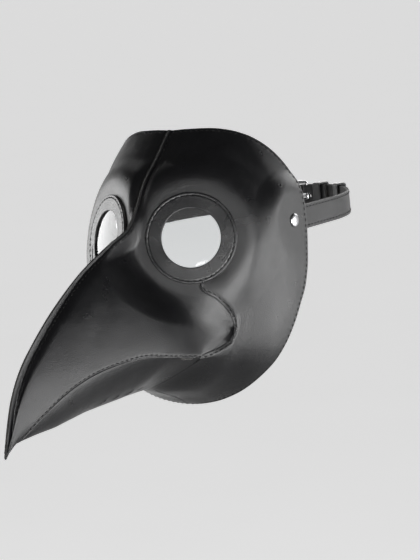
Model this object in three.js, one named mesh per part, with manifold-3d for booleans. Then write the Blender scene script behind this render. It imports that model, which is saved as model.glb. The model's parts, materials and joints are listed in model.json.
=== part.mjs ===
// A plague doctor mask: a full-face mask with a long hooked beak, sewn from thin leather sheet, with two
// round clear lenses under flat leather rings, and a buckled strap that goes round the head.
//
// Frame: millimetres, +Z up. The mask faces -Y, the wearer's left is +X, and the origin is midway between
// the centres of the two eye openings.

import * as THREE from 'three';
import { mergeVertices } from 'three/addons/utils/BufferGeometryUtils.js';
import Module from 'manifold-3d';

const wasm = await Module();
wasm.setup();

// ---------------------------------------------------------------- driving dimensions

const BEAK_LENGTH = 185; // eye line forward to the tip of the beak
const FACE_DEPTH = 83; // eye line back to the rear edge
const BROW_HEIGHT = 74; // eye line up to the top edge at the centre
const CHIN_DROP = 131; // eye line down to the chin edge
const HALF_WIDTH = 84; // centre plane to the side of the mask at the temple

const LEATHER = 2; // thickness of the face leather
const SEAM_GAP = 0.3; // gap left between two sewn edges
const FIT = 0.3; // gap between any two touching pieces

const EYE_HALF_SPACING = 37.8; // centre plane to the centre of an eye opening
const EYE_TURN = 30.4; // degrees that an eye opening is turned outwards
const EYE_TILT = 14; // degrees that it is tilted upwards
const RING_RADIUS = 33.4;
const RING_HOLE = 21.5;
const RING_THICKNESS = 2.2;
const LENS_THICKNESS = 0.8;
const LENS_LAP = 7; // how far the lens reaches under the ring
const EYE_CUT_LAP = 2.5; // the face panel's own hole is this much wider than the ring's hole
const EYE_SEAT = 5; // flat leather beyond the ring's edge
const EYE_FADE = 20; // width over which the flat seat fades into the face

const VENT_RADIUS = 1.5;
const VENT_COUNT = 4; // breathing holes on each side of the keel
const VENT_PITCH = 14;
const VENT_START = 44; // first hole, forward of the eye line
const VENT_RISE = 5; // height of the holes above the keel

const STRAP_WIDTH = 18;
const STRAP_THICKNESS = 2;
const STRAP_BACK = 205; // eye line back to the strap at the nape
const PIVOT_DEPTH = 66; // eye line back to the strap rivet
const PIVOT_HEIGHT = 2; // strap rivet above the eye line
const PAD_RADIUS = 20; // flat leather round the strap rivet
const PAD_FADE = 18;
const POST_RADIUS = 2;
const CAP_RADIUS = 5;
const CAP_HEIGHT = 1.6;
const STRAP_SLACK = 0.5; // gap between the face leather and the strap inside it

const BAR_RADIUS = 1.2; // buckle wire
const FRAME_LENGTH = 26; // heel bar to end bar, centre to centre
const FRAME_SIDE_PLAY = 1; // between the strap's edge and the frame's side
const BUCKLE_ANGLE = 84; // degrees round the back arc, from the left side, to the heel bar
const FOLD_LENGTH = 22; // folded-back end of the left strap
const FOLD_EASE = 9; // distance in which the folded end closes up to the strap
const SLOT_WIDTH = 5.4; // slot for the prong in the fold
const PRONG_RADIUS = 1;
const PRONG_EYE_WALL = 0.8;
const PRONG_EYE_WIDTH = 3.2;
const CLIMB = 10; // distance in which the right strap climbs over the heel bar
const CLIMB_TOP = 2; // and it is at its highest this far ahead of the bar
const DIP_START = 8; // the right strap is low until this far past the end bar
const DIP_EASE = 14;
const TAIL_LENGTH = 55; // right strap's tail beyond the heel bar
const TAIL_TAPER = 7;
const HOLE_WIDTH = 3.4; // adjusting holes in the right strap
const HOLE_BEFORE = 3.4; // the hole in use starts this far behind the heel bar
const HOLE_AFTER = 10.6; // and ends this far ahead of it
const HOLE_PITCH = 17;
const HOLES_TOWARDS_TAIL = 2;
const HOLES_AWAY = 3;
const KEEPER_WIDTH = 8;
const KEEPER_WALL = 1.6;
const FIXED_KEEPER_AT = 13; // behind the heel bar, along the strap
const SLIDING_KEEPER_AT = 38;

// ---------------------------------------------------------------- mesh density

const BEAK_STEPS = 22;
const FACE_STEPS = 19;
const UPPER_STEPS = 17;
const LOWER_STEPS = 7;
const ROUND_SIDES = 40;
const SMALL_SIDES = 16;
const VENT_SIDES = 12;
const SEAM_STEPS = 30; // pieces of a seam's or a slit's line
const REAR_STEPS = 36;
const FOLD_STEPS = 8;

// ---------------------------------------------------------------- rails of the face surface
// Depths are shares of BEAK_LENGTH ahead of the eye line (negative) and of FACE_DEPTH behind it. Heights
// are shares of BROW_HEIGHT above it and of CHIN_DROP below it. Widths are shares of HALF_WIDTH. Behind
// the brow and the chin the rails run on past the edges, where the outline trims the surface away.

const RIDGE = [ // depth, height
  [-1, -0.912], [-0.992, -0.863], [-0.977, -0.795], [-0.933, -0.638], [-0.868, -0.502], [-0.77, -0.374],
  [-0.645, -0.243], [-0.465, -0.092], [-0.253, 0.053], [-0.137, 0.153], [-0.081, 0.284], [0, 0.554],
  [0.241, 0.79], [0.434, 1], [0.72, 1.24], [1.25, 1.44],
];
const KEEL = [ // depth, height
  [-1, -0.926], [-0.977, -0.893], [-0.93, -0.86], [-0.7, -0.848], [-0.5, -0.824], [-0.11, -0.823],
  [-0.026, -0.87], [0.15, -0.925], [0.36, -0.992], [0.72, -1.055], [1.25, -1.085],
];
const SIDE = [ // depth, height of the widest point, width
  [-1, -0.919, 0.006], [-0.977, -0.855, 0.028], [-0.93, -0.775, 0.06], [-0.86, -0.742, 0.104],
  [-0.77, -0.7, 0.152], [-0.65, -0.628, 0.225], [-0.51, -0.58, 0.315], [-0.365, -0.567, 0.415],
  [-0.24, -0.598, 0.512], [-0.135, -0.63, 0.583], [-0.055, -0.61, 0.645], [0.06, -0.52, 0.74],
  [0.24, -0.38, 0.863], [0.43, -0.23, 0.946], [0.66, -0.09, 0.992], [1.25, 0, 1.005],
];
const FULLNESS = [ // depth, then the section's exponents: upper height, upper width, lower height, width
  [-1, 2, 2, 2, 2], [-0.93, 2, 2, 2, 2], [-0.77, 1.5, 1.7, 1.5, 1.6], [-0.33, 1.25, 1.5, 1.3, 1.3],
  [-0.11, 1.1, 1.2, 1.05, 1.1], [0, 1.3, 1.8, 2.2, 2], [0.12, 2.3, 2, 2.7, 2], [0.24, 2.6, 2, 3.1, 2],
  [0.43, 2.4, 2, 3.6, 2], [1.25, 2, 2, 3.6, 2],
];

// Seams and edges, seen from the side, as depth and height.
const LOWER_SEAM = [
  [-0.93, -0.86], [-0.838, -0.76], [-0.714, -0.66], [-0.595, -0.6], [-0.465, -0.572], [-0.351, -0.567],
  [-0.227, -0.603], [-0.097, -0.641],
];
const CREASE = [[-0.097, -0.641], [-0.11, -0.823]];
const DART = [
  [0.12, -0.1], [-0.029, -0.25], [-0.006, -0.344], [0.064, -0.443], [0.079, -0.51], [0.055, -0.569],
  [-0.036, -0.614], [-0.097, -0.641],
];
const REAR_EDGE = [
  [0.42, 1.03], [0.58, 1], [0.75, 0.85], [0.88, 0.63], [0.965, 0.38], [1, 0.07], [0.975, -0.153],
  [0.9, -0.35], [0.79, -0.47], [0.66, -0.618], [0.53, -0.74], [0.41, -0.84], [0.362, -0.93], [0.355, -1.03],
];

// ---------------------------------------------------------------- surface of the face

const depthOf = (share) => share * (share < 0 ? BEAK_LENGTH : FACE_DEPTH);
const heightOf = (share) => share * (share < 0 ? CHIN_DROP : BROW_HEIGHT);
const sidePoint = ([depth, height]) => new THREE.Vector2(depthOf(depth), heightOf(height));

// Smooth curve through rows of [position, value, ...], for one column of values.
function rail(rows, column) {
  const at = rows.map((row) => row[0]);
  const value = rows.map((row) => row[column]);
  const last = rows.length - 1;
  const slope = value.map((_, i) => {
    const before = Math.max(i - 1, 0);
    const after = Math.min(i + 1, last);
    return (value[after] - value[before]) / (at[after] - at[before]);
  });
  return (x) => {
    let i = 0;
    while (i < last - 1 && x > at[i + 1]) {
      i += 1;
    }
    const span = at[i + 1] - at[i];
    const t = THREE.MathUtils.clamp((x - at[i]) / span, 0, 1);
    const rise = t * t * (3 - 2 * t);
    const start = t * (1 - t) * (1 - t) * span * slope[i];
    const end = t * t * (t - 1) * span * slope[i + 1];
    return value[i] + (value[i + 1] - value[i]) * rise + start + end;
  };
}

const inMillimetres = (rows) => rows.map(([depth, height, width]) => [
  depthOf(depth), heightOf(height), (width ?? 0) * HALF_WIDTH]);
const ridgeHeight = rail(inMillimetres(RIDGE), 1);
const keelHeight = rail(inMillimetres(KEEL), 1);
const sideHeight = rail(inMillimetres(SIDE), 1);
const sideWidth = rail(inMillimetres(SIDE), 2);
const fullness = [1, 2, 3, 4].map((column) => rail(
  FULLNESS.map(([depth, ...exponents]) => [depthOf(depth), ...exponents]), column));

// Bare section of the left half at one depth. turn runs from 0 at the ridge through 1 at the widest
// point to 2 at the keel.
function sectionPoint(depth, turn) {
  const upper = turn <= 1;
  const angle = (upper ? turn : 2 - turn) * Math.PI / 2;
  const heightPower = fullness[upper ? 0 : 2](depth);
  const widthPower = fullness[upper ? 1 : 3](depth);
  const middle = sideHeight(depth);
  const end = upper ? ridgeHeight(depth) : keelHeight(depth);
  const rise = Math.max(Math.cos(angle), 0) ** (2 / heightPower);
  const reach = Math.sin(angle) ** (2 / widthPower);
  return new THREE.Vector3(sideWidth(depth) * reach, depth, middle + (end - middle) * rise);
}

const radians = THREE.MathUtils.degToRad;
const eyeCentre = new THREE.Vector3(EYE_HALF_SPACING, 0, 0);
const eyeNormal = new THREE.Vector3(
  Math.sin(radians(EYE_TURN)) * Math.cos(radians(EYE_TILT)),
  -Math.cos(radians(EYE_TURN)) * Math.cos(radians(EYE_TILT)),
  Math.sin(radians(EYE_TILT)));

// The rivet's flat pad is level with the widest point of the section that it sits on.
const padCentre = new THREE.Vector3(sideWidth(PIVOT_DEPTH), PIVOT_DEPTH, PIVOT_HEIGHT);
const flats = [
  { centre: eyeCentre, normal: eyeNormal, radius: RING_RADIUS + EYE_SEAT, fade: EYE_FADE },
  { centre: padCentre, normal: new THREE.Vector3(1, 0, 0), radius: PAD_RADIUS, fade: PAD_FADE },
];

// Nearer to the centre plane than the ring's edge, the flats leave the leather as it is.
const RING_MARGIN = 1;
const centreFade = EYE_HALF_SPACING - (RING_RADIUS + RING_MARGIN) * Math.cos(radians(EYE_TURN));

// Leather surface of the left half, pressed flat under the ring and round the rivet.
function skinPoint(depth, turn) {
  const point = sectionPoint(depth, turn);
  for (const { centre, normal, radius, fade } of flats) {
    const offset = point.clone().sub(centre);
    const above = offset.dot(normal);
    const across = offset.addScaledVector(normal, -above).length();
    const hold = 1 - THREE.MathUtils.smoothstep(across, radius, radius + fade);
    const clear = THREE.MathUtils.smoothstep(point.x, 0, centreFade);
    point.addScaledVector(normal, -above * hold * clear);
  }
  return point;
}

const PROBE = 0.02; // step for slopes, in mm along the depth and as a share of a turn

function skinNormal(depth, turn) {
  const low = THREE.MathUtils.clamp(turn, PROBE, 2 - PROBE) - PROBE;
  const along = skinPoint(depth + PROBE, low + PROBE).sub(skinPoint(depth - PROBE, low + PROBE));
  const around = skinPoint(depth, low + 2 * PROBE).sub(skinPoint(depth, low));
  return around.cross(along).normalize();
}

// ---------------------------------------------------------------- solids

function toSolid(geometry) {
  const bare = geometry.clone();
  bare.deleteAttribute('normal');
  bare.deleteAttribute('uv');
  const merged = mergeVertices(bare, 1e-4);
  return new wasm.Manifold(new wasm.Mesh({
    numProp: 3,
    vertProperties: new Float32Array(merged.attributes.position.array),
    triVerts: new Uint32Array(merged.index.array),
  }));
}

function toGeometry(solid) {
  const mesh = solid.getMesh();
  const geometry = new THREE.BufferGeometry();
  geometry.setAttribute('position', new THREE.BufferAttribute(new Float32Array(mesh.vertProperties), 3));
  geometry.setIndex(new THREE.BufferAttribute(new Uint32Array(mesh.triVerts), 1));
  geometry.computeVertexNormals();
  return geometry;
}

// Closed body through loops of points that mirror across the centre plane.
function loftLoops(loops) {
  const count = loops[0].length;
  const half = count / 2;
  const index = [];
  const quad = (a, b, c, d) => index.push(a, b, c, a, c, d);
  for (let i = 0; i + 1 < loops.length; i += 1) {
    for (let j = 0; j < count; j += 1) {
      const next = (j + 1) % count;
      quad(i * count + j, i * count + next, (i + 1) * count + next, (i + 1) * count + j);
    }
  }
  const cap = (base, flip) => {
    for (let j = 0; j < half; j += 1) {
      const corners = [j, j + 1, count - j - 1, (count - j) % count].map((k) => base + k);
      if (flip) {
        corners.reverse();
      }
      const [a, b, c, d] = corners;
      if (j === 0) {
        index.push(...(flip ? [b, c, d] : [a, b, c]));
      } else if (j === half - 1) {
        index.push(...(flip ? [a, c, d] : [a, b, d]));
      } else {
        quad(a, b, c, d);
      }
    }
  };
  cap(0, true);
  cap((loops.length - 1) * count, false);
  const geometry = new THREE.BufferGeometry();
  const values = loops.flat().flatMap((point) => point.toArray());
  geometry.setAttribute('position', new THREE.Float32BufferAttribute(values, 3));
  geometry.setIndex(index);
  return geometry;
}

// Prism between two widths of an outline seen from the side.
function sidePrism(outline, from, to) {
  const geometry = new THREE.ExtrudeGeometry(
    new THREE.Shape(outline), { depth: to - from, bevelEnabled: false });
  geometry.applyMatrix4(new THREE.Matrix4().makeBasis(
    new THREE.Vector3(0, 1, 0), new THREE.Vector3(0, 0, 1), new THREE.Vector3(1, 0, 0)));
  return geometry.translate(from, 0, 0);
}

function smoothLine(rows, count) {
  return new THREE.SplineCurve(rows.map(sidePoint)).getPoints(count);
}

// The same line moved sideways, to its left as it runs.
function shifted(line, distance) {
  return line.map((point, i) => {
    const before = line[Math.max(i - 1, 0)];
    const after = line[Math.min(i + 1, line.length - 1)];
    const run = after.clone().sub(before).normalize();
    return new THREE.Vector2(point.x - run.y * distance, point.y + run.x * distance);
  });
}

function mirrored(geometry) {
  const copy = geometry.clone().scale(-1, 1, 1);
  const order = copy.index.array;
  for (let i = 0; i < order.length; i += 3) {
    [order[i], order[i + 1]] = [order[i + 1], order[i]];
  }
  copy.computeVertexNormals();
  return copy;
}

// Places a shape made about +Z so that +Z becomes the given direction, at a point.
function alongNormal(geometry, normal, centre) {
  const turn = new THREE.Quaternion().setFromUnitVectors(new THREE.Vector3(0, 0, 1), normal);
  return geometry.applyQuaternion(turn).translate(...centre.toArray());
}

function rodAlong(radius, from, to, sides) {
  const run = to.clone().sub(from);
  const rod = new THREE.CylinderGeometry(radius, radius, run.length(), sides);
  rod.rotateX(Math.PI / 2);
  return alongNormal(rod, run.clone().normalize(), from.clone().add(to).multiplyScalar(0.5));
}

// ---------------------------------------------------------------- face leather

const TRIM = 300; // larger than the mask, for cutting tools
const REAR_OVERRUN = 8; // the surface runs on past the rear edge before it is trimmed
const SHARPEST = 3; // longest inward shift at a sharp ridge, in leather thicknesses
const HOLLOW_FROM = -0.88; // the beak is solid leather ahead of this share of its length

function stationDepths() {
  const depths = [];
  for (let i = 0; i < BEAK_STEPS; i += 1) {
    depths.push(-BEAK_LENGTH * (1 + Math.cos(Math.PI * i / BEAK_STEPS)) / 2);
  }
  for (let i = 0; i <= FACE_STEPS; i += 1) {
    depths.push((FACE_DEPTH + REAR_OVERRUN) * i / FACE_STEPS);
  }
  return depths;
}

const turns = [
  ...Array.from({ length: UPPER_STEPS }, (_, j) => j / UPPER_STEPS),
  ...Array.from({ length: LOWER_STEPS + 1 }, (_, j) => 1 + j / LOWER_STEPS),
];

function wholeLoop(left) {
  const right = left.slice(1, -1).reverse();
  return [...left, ...right.map((point) => new THREE.Vector3(-point.x, point.y, point.z))];
}

function outerLoop(depth) {
  return wholeLoop(turns.map((turn) => skinPoint(depth, turn)));
}

// Points one leather thickness inside the surface. On the centre plane the two sides meet in a mitre,
// and points that would cross it gather there.
function innerLoop(depth) {
  const last = turns.length - 1;
  const mitre = (turn) => {
    const normal = skinNormal(depth, turn).setX(0);
    const shift = Math.min(LEATHER / normal.length(), SHARPEST * LEATHER);
    return skinPoint(depth, turn).addScaledVector(normal.normalize(), -shift).setX(0);
  };
  const top = mitre(0);
  const bottom = mitre(2);
  const left = turns.map((turn, j) => {
    if (j === 0) {
      return top;
    }
    if (j === last) {
      return bottom;
    }
    const point = skinPoint(depth, turn).addScaledVector(skinNormal(depth, turn), -LEATHER);
    const end = turn <= 1 ? top : bottom;
    const steps = turn <= 1 ? j : last - j;
    const least = steps * PROBE;
    if (point.x < least) {
      point.set(least, end.y, end.z + (turn <= 1 ? -least : least));
    }
    return point;
  });
  return wholeLoop(left);
}

function faceShell() {
  const depths = stationDepths();
  const outer = toSolid(loftLoops(depths.map(outerLoop)));
  const hollow = depths.filter((depth) => depth > HOLLOW_FROM * BEAK_LENGTH);
  const inside = hollow.map(innerLoop);
  const beyond = inside[inside.length - 1].map((point) => point.clone().setY(TRIM));
  return outer.subtract(toSolid(loftLoops([...inside, beyond])));
}

const lowerSeam = smoothLine(LOWER_SEAM, SEAM_STEPS);
const mouthCorner = lowerSeam[lowerSeam.length - 1];
const crease = CREASE.map(sidePoint);
const halfGap = SEAM_GAP / 2;

// Everything above the lower seam and behind the crease, forward of the rear edge.
function facePanelOutline() {
  const start = lowerSeam[0];
  return [
    new THREE.Vector2(-TRIM, -TRIM),
    new THREE.Vector2(start.x, -TRIM),
    ...shifted(lowerSeam, halfGap),
    new THREE.Vector2(mouthCorner.x + halfGap, mouthCorner.y),
    new THREE.Vector2(crease[1].x + halfGap, crease[1].y),
    new THREE.Vector2(crease[1].x + halfGap, -TRIM),
    new THREE.Vector2(depthOf(REAR_EDGE[REAR_EDGE.length - 1][0]), -TRIM),
    ...smoothLine(REAR_EDGE, REAR_STEPS).reverse(),
    new THREE.Vector2(depthOf(REAR_EDGE[0][0]), TRIM),
    new THREE.Vector2(-TRIM, TRIM),
  ];
}

function undersideOutline() {
  return [
    ...shifted(lowerSeam, -halfGap),
    new THREE.Vector2(crease[1].x - halfGap, crease[1].y),
    new THREE.Vector2(crease[1].x - halfGap, -TRIM),
    new THREE.Vector2(lowerSeam[0].x + SEAM_GAP, -TRIM),
  ].filter((point, i) => i > 0);
}

// The dart is a slit from the eye opening to the mouth corner, and a little past it.
function dartKnife() {
  const line = smoothLine(DART, SEAM_STEPS);
  const [before, end] = line.slice(-2);
  const overrun = end.clone().sub(before).setLength(LEATHER).add(end);
  const whole = [...line, overrun];
  const outline = [...shifted(whole, halfGap), ...shifted(whole, -halfGap).reverse()];
  return sidePrism(outline, 0, TRIM);
}

function eyeHole(radius) {
  const cutter = new THREE.CylinderGeometry(radius, radius, TRIM / 4, ROUND_SIDES).rotateX(Math.PI / 2);
  return alongNormal(cutter, eyeNormal, eyeCentre);
}

const rivetAxis = new THREE.Vector3(1, 0, 0);

function rivetHole() {
  const reach = rivetAxis.clone().multiplyScalar(4 * CAP_RADIUS);
  const from = padCentre.clone().sub(reach);
  return rodAlong(POST_RADIUS + FIT, from, padCentre.clone().add(reach), SMALL_SIDES);
}

function facePanel(shell) {
  const panel = shell
    .intersect(toSolid(sidePrism(facePanelOutline(), halfGap, TRIM)))
    .subtract(toSolid(eyeHole(RING_HOLE + EYE_CUT_LAP)))
    .subtract(toSolid(dartKnife()))
    .subtract(toSolid(rivetHole()));
  return toGeometry(panel);
}

function beakUnderside(shell) {
  let panel = shell.intersect(toSolid(sidePrism(undersideOutline(), -TRIM, TRIM)));
  for (let i = 0; i < VENT_COUNT; i += 1) {
    const depth = -VENT_START - i * VENT_PITCH;
    for (const side of [-1, 1]) {
      const { point, normal } = ventPlace(depth);
      point.x *= side;
      normal.x *= side;
      const reach = normal.clone().multiplyScalar(3 * LEATHER);
      const from = point.clone().sub(reach);
      const to = point.clone().add(reach);
      panel = panel.subtract(toSolid(rodAlong(VENT_RADIUS, from, to, VENT_SIDES)));
    }
  }
  return toGeometry(panel);
}

const VENT_CLOSENESS = 1e-6; // share of a turn to which a vent's place is found

// The spot on the left underside that lies VENT_RISE above the keel.
function ventPlace(depth) {
  let low = 1;
  let high = 2;
  const target = keelHeight(depth) + VENT_RISE;
  while (high - low > VENT_CLOSENESS) {
    const middle = (low + high) / 2;
    if (sectionPoint(depth, middle).z > target) {
      low = middle;
    } else {
      high = middle;
    }
  }
  return { point: skinPoint(depth, low), normal: skinNormal(depth, low) };
}

// ---------------------------------------------------------------- eyes

function eyeRing() {
  const lensTop = FIT + LENS_THICKNESS + FIT;
  const lap = RING_HOLE + LENS_LAP + FIT;
  const profile = [
    [RING_HOLE, lensTop], [lap, lensTop], [lap, FIT], [RING_RADIUS, FIT],
    [RING_RADIUS, FIT + RING_THICKNESS], [RING_HOLE, FIT + RING_THICKNESS], [RING_HOLE, lensTop],
  ].map(([radius, height]) => new THREE.Vector2(radius, height));
  const ring = new THREE.LatheGeometry(profile, ROUND_SIDES).rotateX(Math.PI / 2);
  return alongNormal(ring, eyeNormal, eyeCentre);
}

function lens() {
  const radius = RING_HOLE + LENS_LAP;
  const disc = new THREE.CylinderGeometry(radius, radius, LENS_THICKNESS, ROUND_SIDES);
  disc.rotateX(Math.PI / 2).translate(0, 0, FIT + LENS_THICKNESS / 2);
  return alongNormal(disc, eyeNormal, eyeCentre);
}

// ---------------------------------------------------------------- strap rivets

const strapOutside = padCentre.x - LEATHER - STRAP_SLACK; // outer face of a strap beside the rivet
const strapInside = strapOutside - STRAP_THICKNESS;

// A cap's outline, as shares of its radius and of its height from its flat face.
const CAP_RIM = 1 / 3;
const CAP_SHOULDER = [0.7, 0.85];

// Turned about +Z, and then laid along +X at the rivet.
function rivetPiece(profile) {
  const piece = new THREE.LatheGeometry(profile.map(([r, h]) => new THREE.Vector2(r, h)), SMALL_SIDES);
  piece.rotateZ(-Math.PI / 2);
  return piece.translate(0, padCentre.y, padCentre.z);
}

function strapRivet() {
  const face = padCentre.x + FIT;
  const end = strapInside - FIT - CAP_HEIGHT / 2;
  return rivetPiece([
    [0, end], [POST_RADIUS, end], [POST_RADIUS, face], [CAP_RADIUS, face],
    [CAP_RADIUS, face + CAP_HEIGHT * CAP_RIM],
    [CAP_RADIUS * CAP_SHOULDER[0], face + CAP_HEIGHT * CAP_SHOULDER[1]],
    [0, face + CAP_HEIGHT]]);
}

function rivetBackCap() {
  const face = strapInside - FIT;
  const bore = POST_RADIUS + FIT;
  return rivetPiece([
    [0, face - CAP_HEIGHT],
    [CAP_RADIUS * CAP_SHOULDER[0], face - CAP_HEIGHT * CAP_SHOULDER[1]],
    [CAP_RADIUS, face - CAP_HEIGHT * CAP_RIM], [CAP_RADIUS, face], [bore, face],
    [bore, face - CAP_HEIGHT / 2 - FIT], [0, face - CAP_HEIGHT / 2 - FIT]]);
}

// ---------------------------------------------------------------- straps
// Seen from above, each strap runs straight back from its rivet and then round an arc behind the head.
// Along the arc, places are given as the distance from the heel bar, towards the right strap.

const arcRadius = (strapOutside + strapInside) / 2;
const arcCentre = STRAP_BACK - arcRadius;
const barGap = BAR_RADIUS + FIT + STRAP_THICKNESS / 2; // bar centre to the middle of leather round it
const barRadial = arcRadius - barGap;
const overlap = STRAP_THICKNESS + FIT; // middle to middle of two layers
const angleAt = (distance) => radians(BUCKLE_ANGLE) + distance / arcRadius;
const onArc = (distance, radius) => new THREE.Vector2(
  radius * Math.cos(angleAt(distance)), arcCentre + radius * Math.sin(angleAt(distance)));
const ease = (t) => (1 - Math.cos(Math.PI * THREE.MathUtils.clamp(t, 0, 1))) / 2;

const ARC_STEP = 5; // length of a straight piece of a strap's outline
const FINE_STEP = 1;

// Band of leather along a line seen from above.
function strapBand(line) {
  const half = STRAP_THICKNESS / 2;
  const outline = [...shifted(line, half), ...shifted(line, -half).reverse()];
  const band = new THREE.ExtrudeGeometry(
    new THREE.Shape(outline), { depth: STRAP_WIDTH, bevelEnabled: false });
  return toSolid(band.translate(0, 0, PIVOT_HEIGHT - STRAP_WIDTH / 2));
}

// The end at the rivet is cut round.
function rivetEndCutter(side) {
  const radius = STRAP_WIDTH / 2;
  const outline = [new THREE.Vector2(PIVOT_DEPTH, PIVOT_HEIGHT + radius + FIT)];
  outline.push(new THREE.Vector2(PIVOT_DEPTH - 2 * radius, PIVOT_HEIGHT + radius + FIT));
  outline.push(new THREE.Vector2(PIVOT_DEPTH - 2 * radius, PIVOT_HEIGHT - radius - FIT));
  outline.push(new THREE.Vector2(PIVOT_DEPTH, PIVOT_HEIGHT - radius - FIT));
  const sides = SMALL_SIDES / 2;
  for (let i = 0; i <= sides; i += 1) {
    const angle = Math.PI * (1.5 - i / sides);
    outline.push(new THREE.Vector2(
      PIVOT_DEPTH + radius * Math.cos(angle), PIVOT_HEIGHT + radius * Math.sin(angle)));
  }
  const near = strapInside - STRAP_THICKNESS;
  const far = strapOutside + STRAP_THICKNESS;
  return toSolid(side > 0 ? sidePrism(outline, near, far) : sidePrism(outline, -far, -near));
}

function steps(from, to, size) {
  const count = Math.max(Math.round(Math.abs(to - from) / size), 1);
  return Array.from({ length: count + 1 }, (_, i) => from + (to - from) * i / count);
}

const toLeftSide = -radians(BUCKLE_ANGLE) * arcRadius; // where the arc meets the left straight run
const toRightSide = (Math.PI - radians(BUCKLE_ANGLE)) * arcRadius;

function leftStrapLine() {
  const start = new THREE.Vector2(arcRadius, PIVOT_DEPTH - STRAP_WIDTH / 2);
  const line = [start, ...steps(toLeftSide, 0, ARC_STEP).map((s) => onArc(s, arcRadius))];
  const centre = onArc(0, barRadial);
  for (let i = 1; i < FOLD_STEPS; i += 1) {
    const angle = angleAt(0) + Math.PI * i / FOLD_STEPS;
    line.push(new THREE.Vector2(
      centre.x + barGap * Math.cos(angle), centre.y + barGap * Math.sin(angle)));
  }
  for (const s of steps(0, -FOLD_LENGTH, FINE_STEP * 2)) {
    const open = 1 - ease(-s / FOLD_EASE);
    line.push(onArc(s, arcRadius - overlap - (2 * barGap - overlap) * open));
  }
  return line;
}

function rightStrapRadius(s) {
  const low = barRadial - barGap;
  if (s < CLIMB_TOP + CLIMB) {
    return arcRadius + overlap + (low - arcRadius - overlap) * ease((s - CLIMB_TOP) / CLIMB);
  }
  const dipEnd = FRAME_LENGTH + DIP_START;
  return low + (arcRadius - low) * ease((s - dipEnd) / DIP_EASE);
}

function rightStrapLine() {
  const dipEnd = FRAME_LENGTH + DIP_START + DIP_EASE;
  const places = [
    ...steps(-TAIL_LENGTH, -FINE_STEP, ARC_STEP),
    ...steps(0, CLIMB_TOP + CLIMB, FINE_STEP),
    ...steps(CLIMB_TOP + CLIMB + ARC_STEP, FRAME_LENGTH + DIP_START, ARC_STEP),
    ...steps(FRAME_LENGTH + DIP_START + DIP_EASE / 6, dipEnd, DIP_EASE / 6),
    ...steps(dipEnd + ARC_STEP, toRightSide, ARC_STEP),
  ];
  const end = new THREE.Vector2(-arcRadius, PIVOT_DEPTH - STRAP_WIDTH / 2);
  return [...places.map((s) => onArc(s, rightStrapRadius(s))), end];
}

// Moves a shape made with +X along the strap and +Y outwards to a place on the arc.
function ontoArc(geometry, distance, radius) {
  const angle = angleAt(distance);
  geometry.applyMatrix4(new THREE.Matrix4().makeBasis(
    new THREE.Vector3(-Math.sin(angle), Math.cos(angle), 0),
    new THREE.Vector3(Math.cos(angle), Math.sin(angle), 0),
    new THREE.Vector3(0, 0, -1)));
  const place = onArc(distance, radius);
  return geometry.translate(place.x, place.y, PIVOT_HEIGHT);
}

// Moves a shape made with its heel bar at the origin, its end bar along +X and +Y outwards to the buckle.
function ontoBuckle(geometry) {
  const heel = onArc(0, barRadial);
  const end = onArc(FRAME_LENGTH, barRadial);
  const run = end.clone().sub(heel).normalize();
  geometry.applyMatrix4(new THREE.Matrix4().makeBasis(
    new THREE.Vector3(run.x, run.y, 0), new THREE.Vector3(run.y, -run.x, 0),
    new THREE.Vector3(0, 0, -1)));
  return geometry.translate(heel.x, heel.y, PIVOT_HEIGHT);
}

function block(length, height, width, x = 0, y = 0) {
  return new THREE.BoxGeometry(length, height, width).translate(x, y, 0);
}

function leftStrap() {
  const slotDepth = 2 * (barGap + STRAP_THICKNESS);
  const slotBack = 2 * barGap;
  const slot = block(slotBack + slotDepth, slotDepth, SLOT_WIDTH, (slotDepth - slotBack) / 2);
  return toGeometry(strapBand(leftStrapLine())
    .subtract(rivetEndCutter(1))
    .subtract(toSolid(rivetHole()))
    .subtract(toSolid(ontoBuckle(slot))));
}

function rightStrap() {
  const length = HOLE_BEFORE + HOLE_AFTER;
  const middle = (HOLE_AFTER - HOLE_BEFORE) / 2;
  const deep = 2 * (barGap + overlap) + STRAP_THICKNESS;
  let strap = strapBand(rightStrapLine())
    .subtract(rivetEndCutter(-1))
    .subtract(toSolid(mirrored(rivetHole())))
    .subtract(toSolid(ontoBuckle(block(length, deep, HOLE_WIDTH, middle, overlap))));
  for (let i = -HOLES_TOWARDS_TAIL; i <= HOLES_AWAY; i += 1) {
    if (i !== 0) {
      const place = middle + i * HOLE_PITCH;
      const hole = ontoArc(block(length, deep, HOLE_WIDTH), place, rightStrapRadius(place));
      strap = strap.subtract(toSolid(hole));
    }
  }
  for (const side of [-1, 1]) {
    const corner = block(2 * TAIL_TAPER, deep, TAIL_TAPER * Math.SQRT2).rotateY(side * Math.PI / 4);
    corner.translate(0, 0, side * STRAP_WIDTH / 2);
    strap = strap.subtract(toSolid(ontoArc(corner, -TAIL_LENGTH, arcRadius + overlap)));
  }
  return toGeometry(strap);
}

// ---------------------------------------------------------------- buckle

const frameWindow = STRAP_WIDTH + 2 * FRAME_SIDE_PLAY;
const frameHeight = frameWindow + 4 * BAR_RADIUS;

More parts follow.
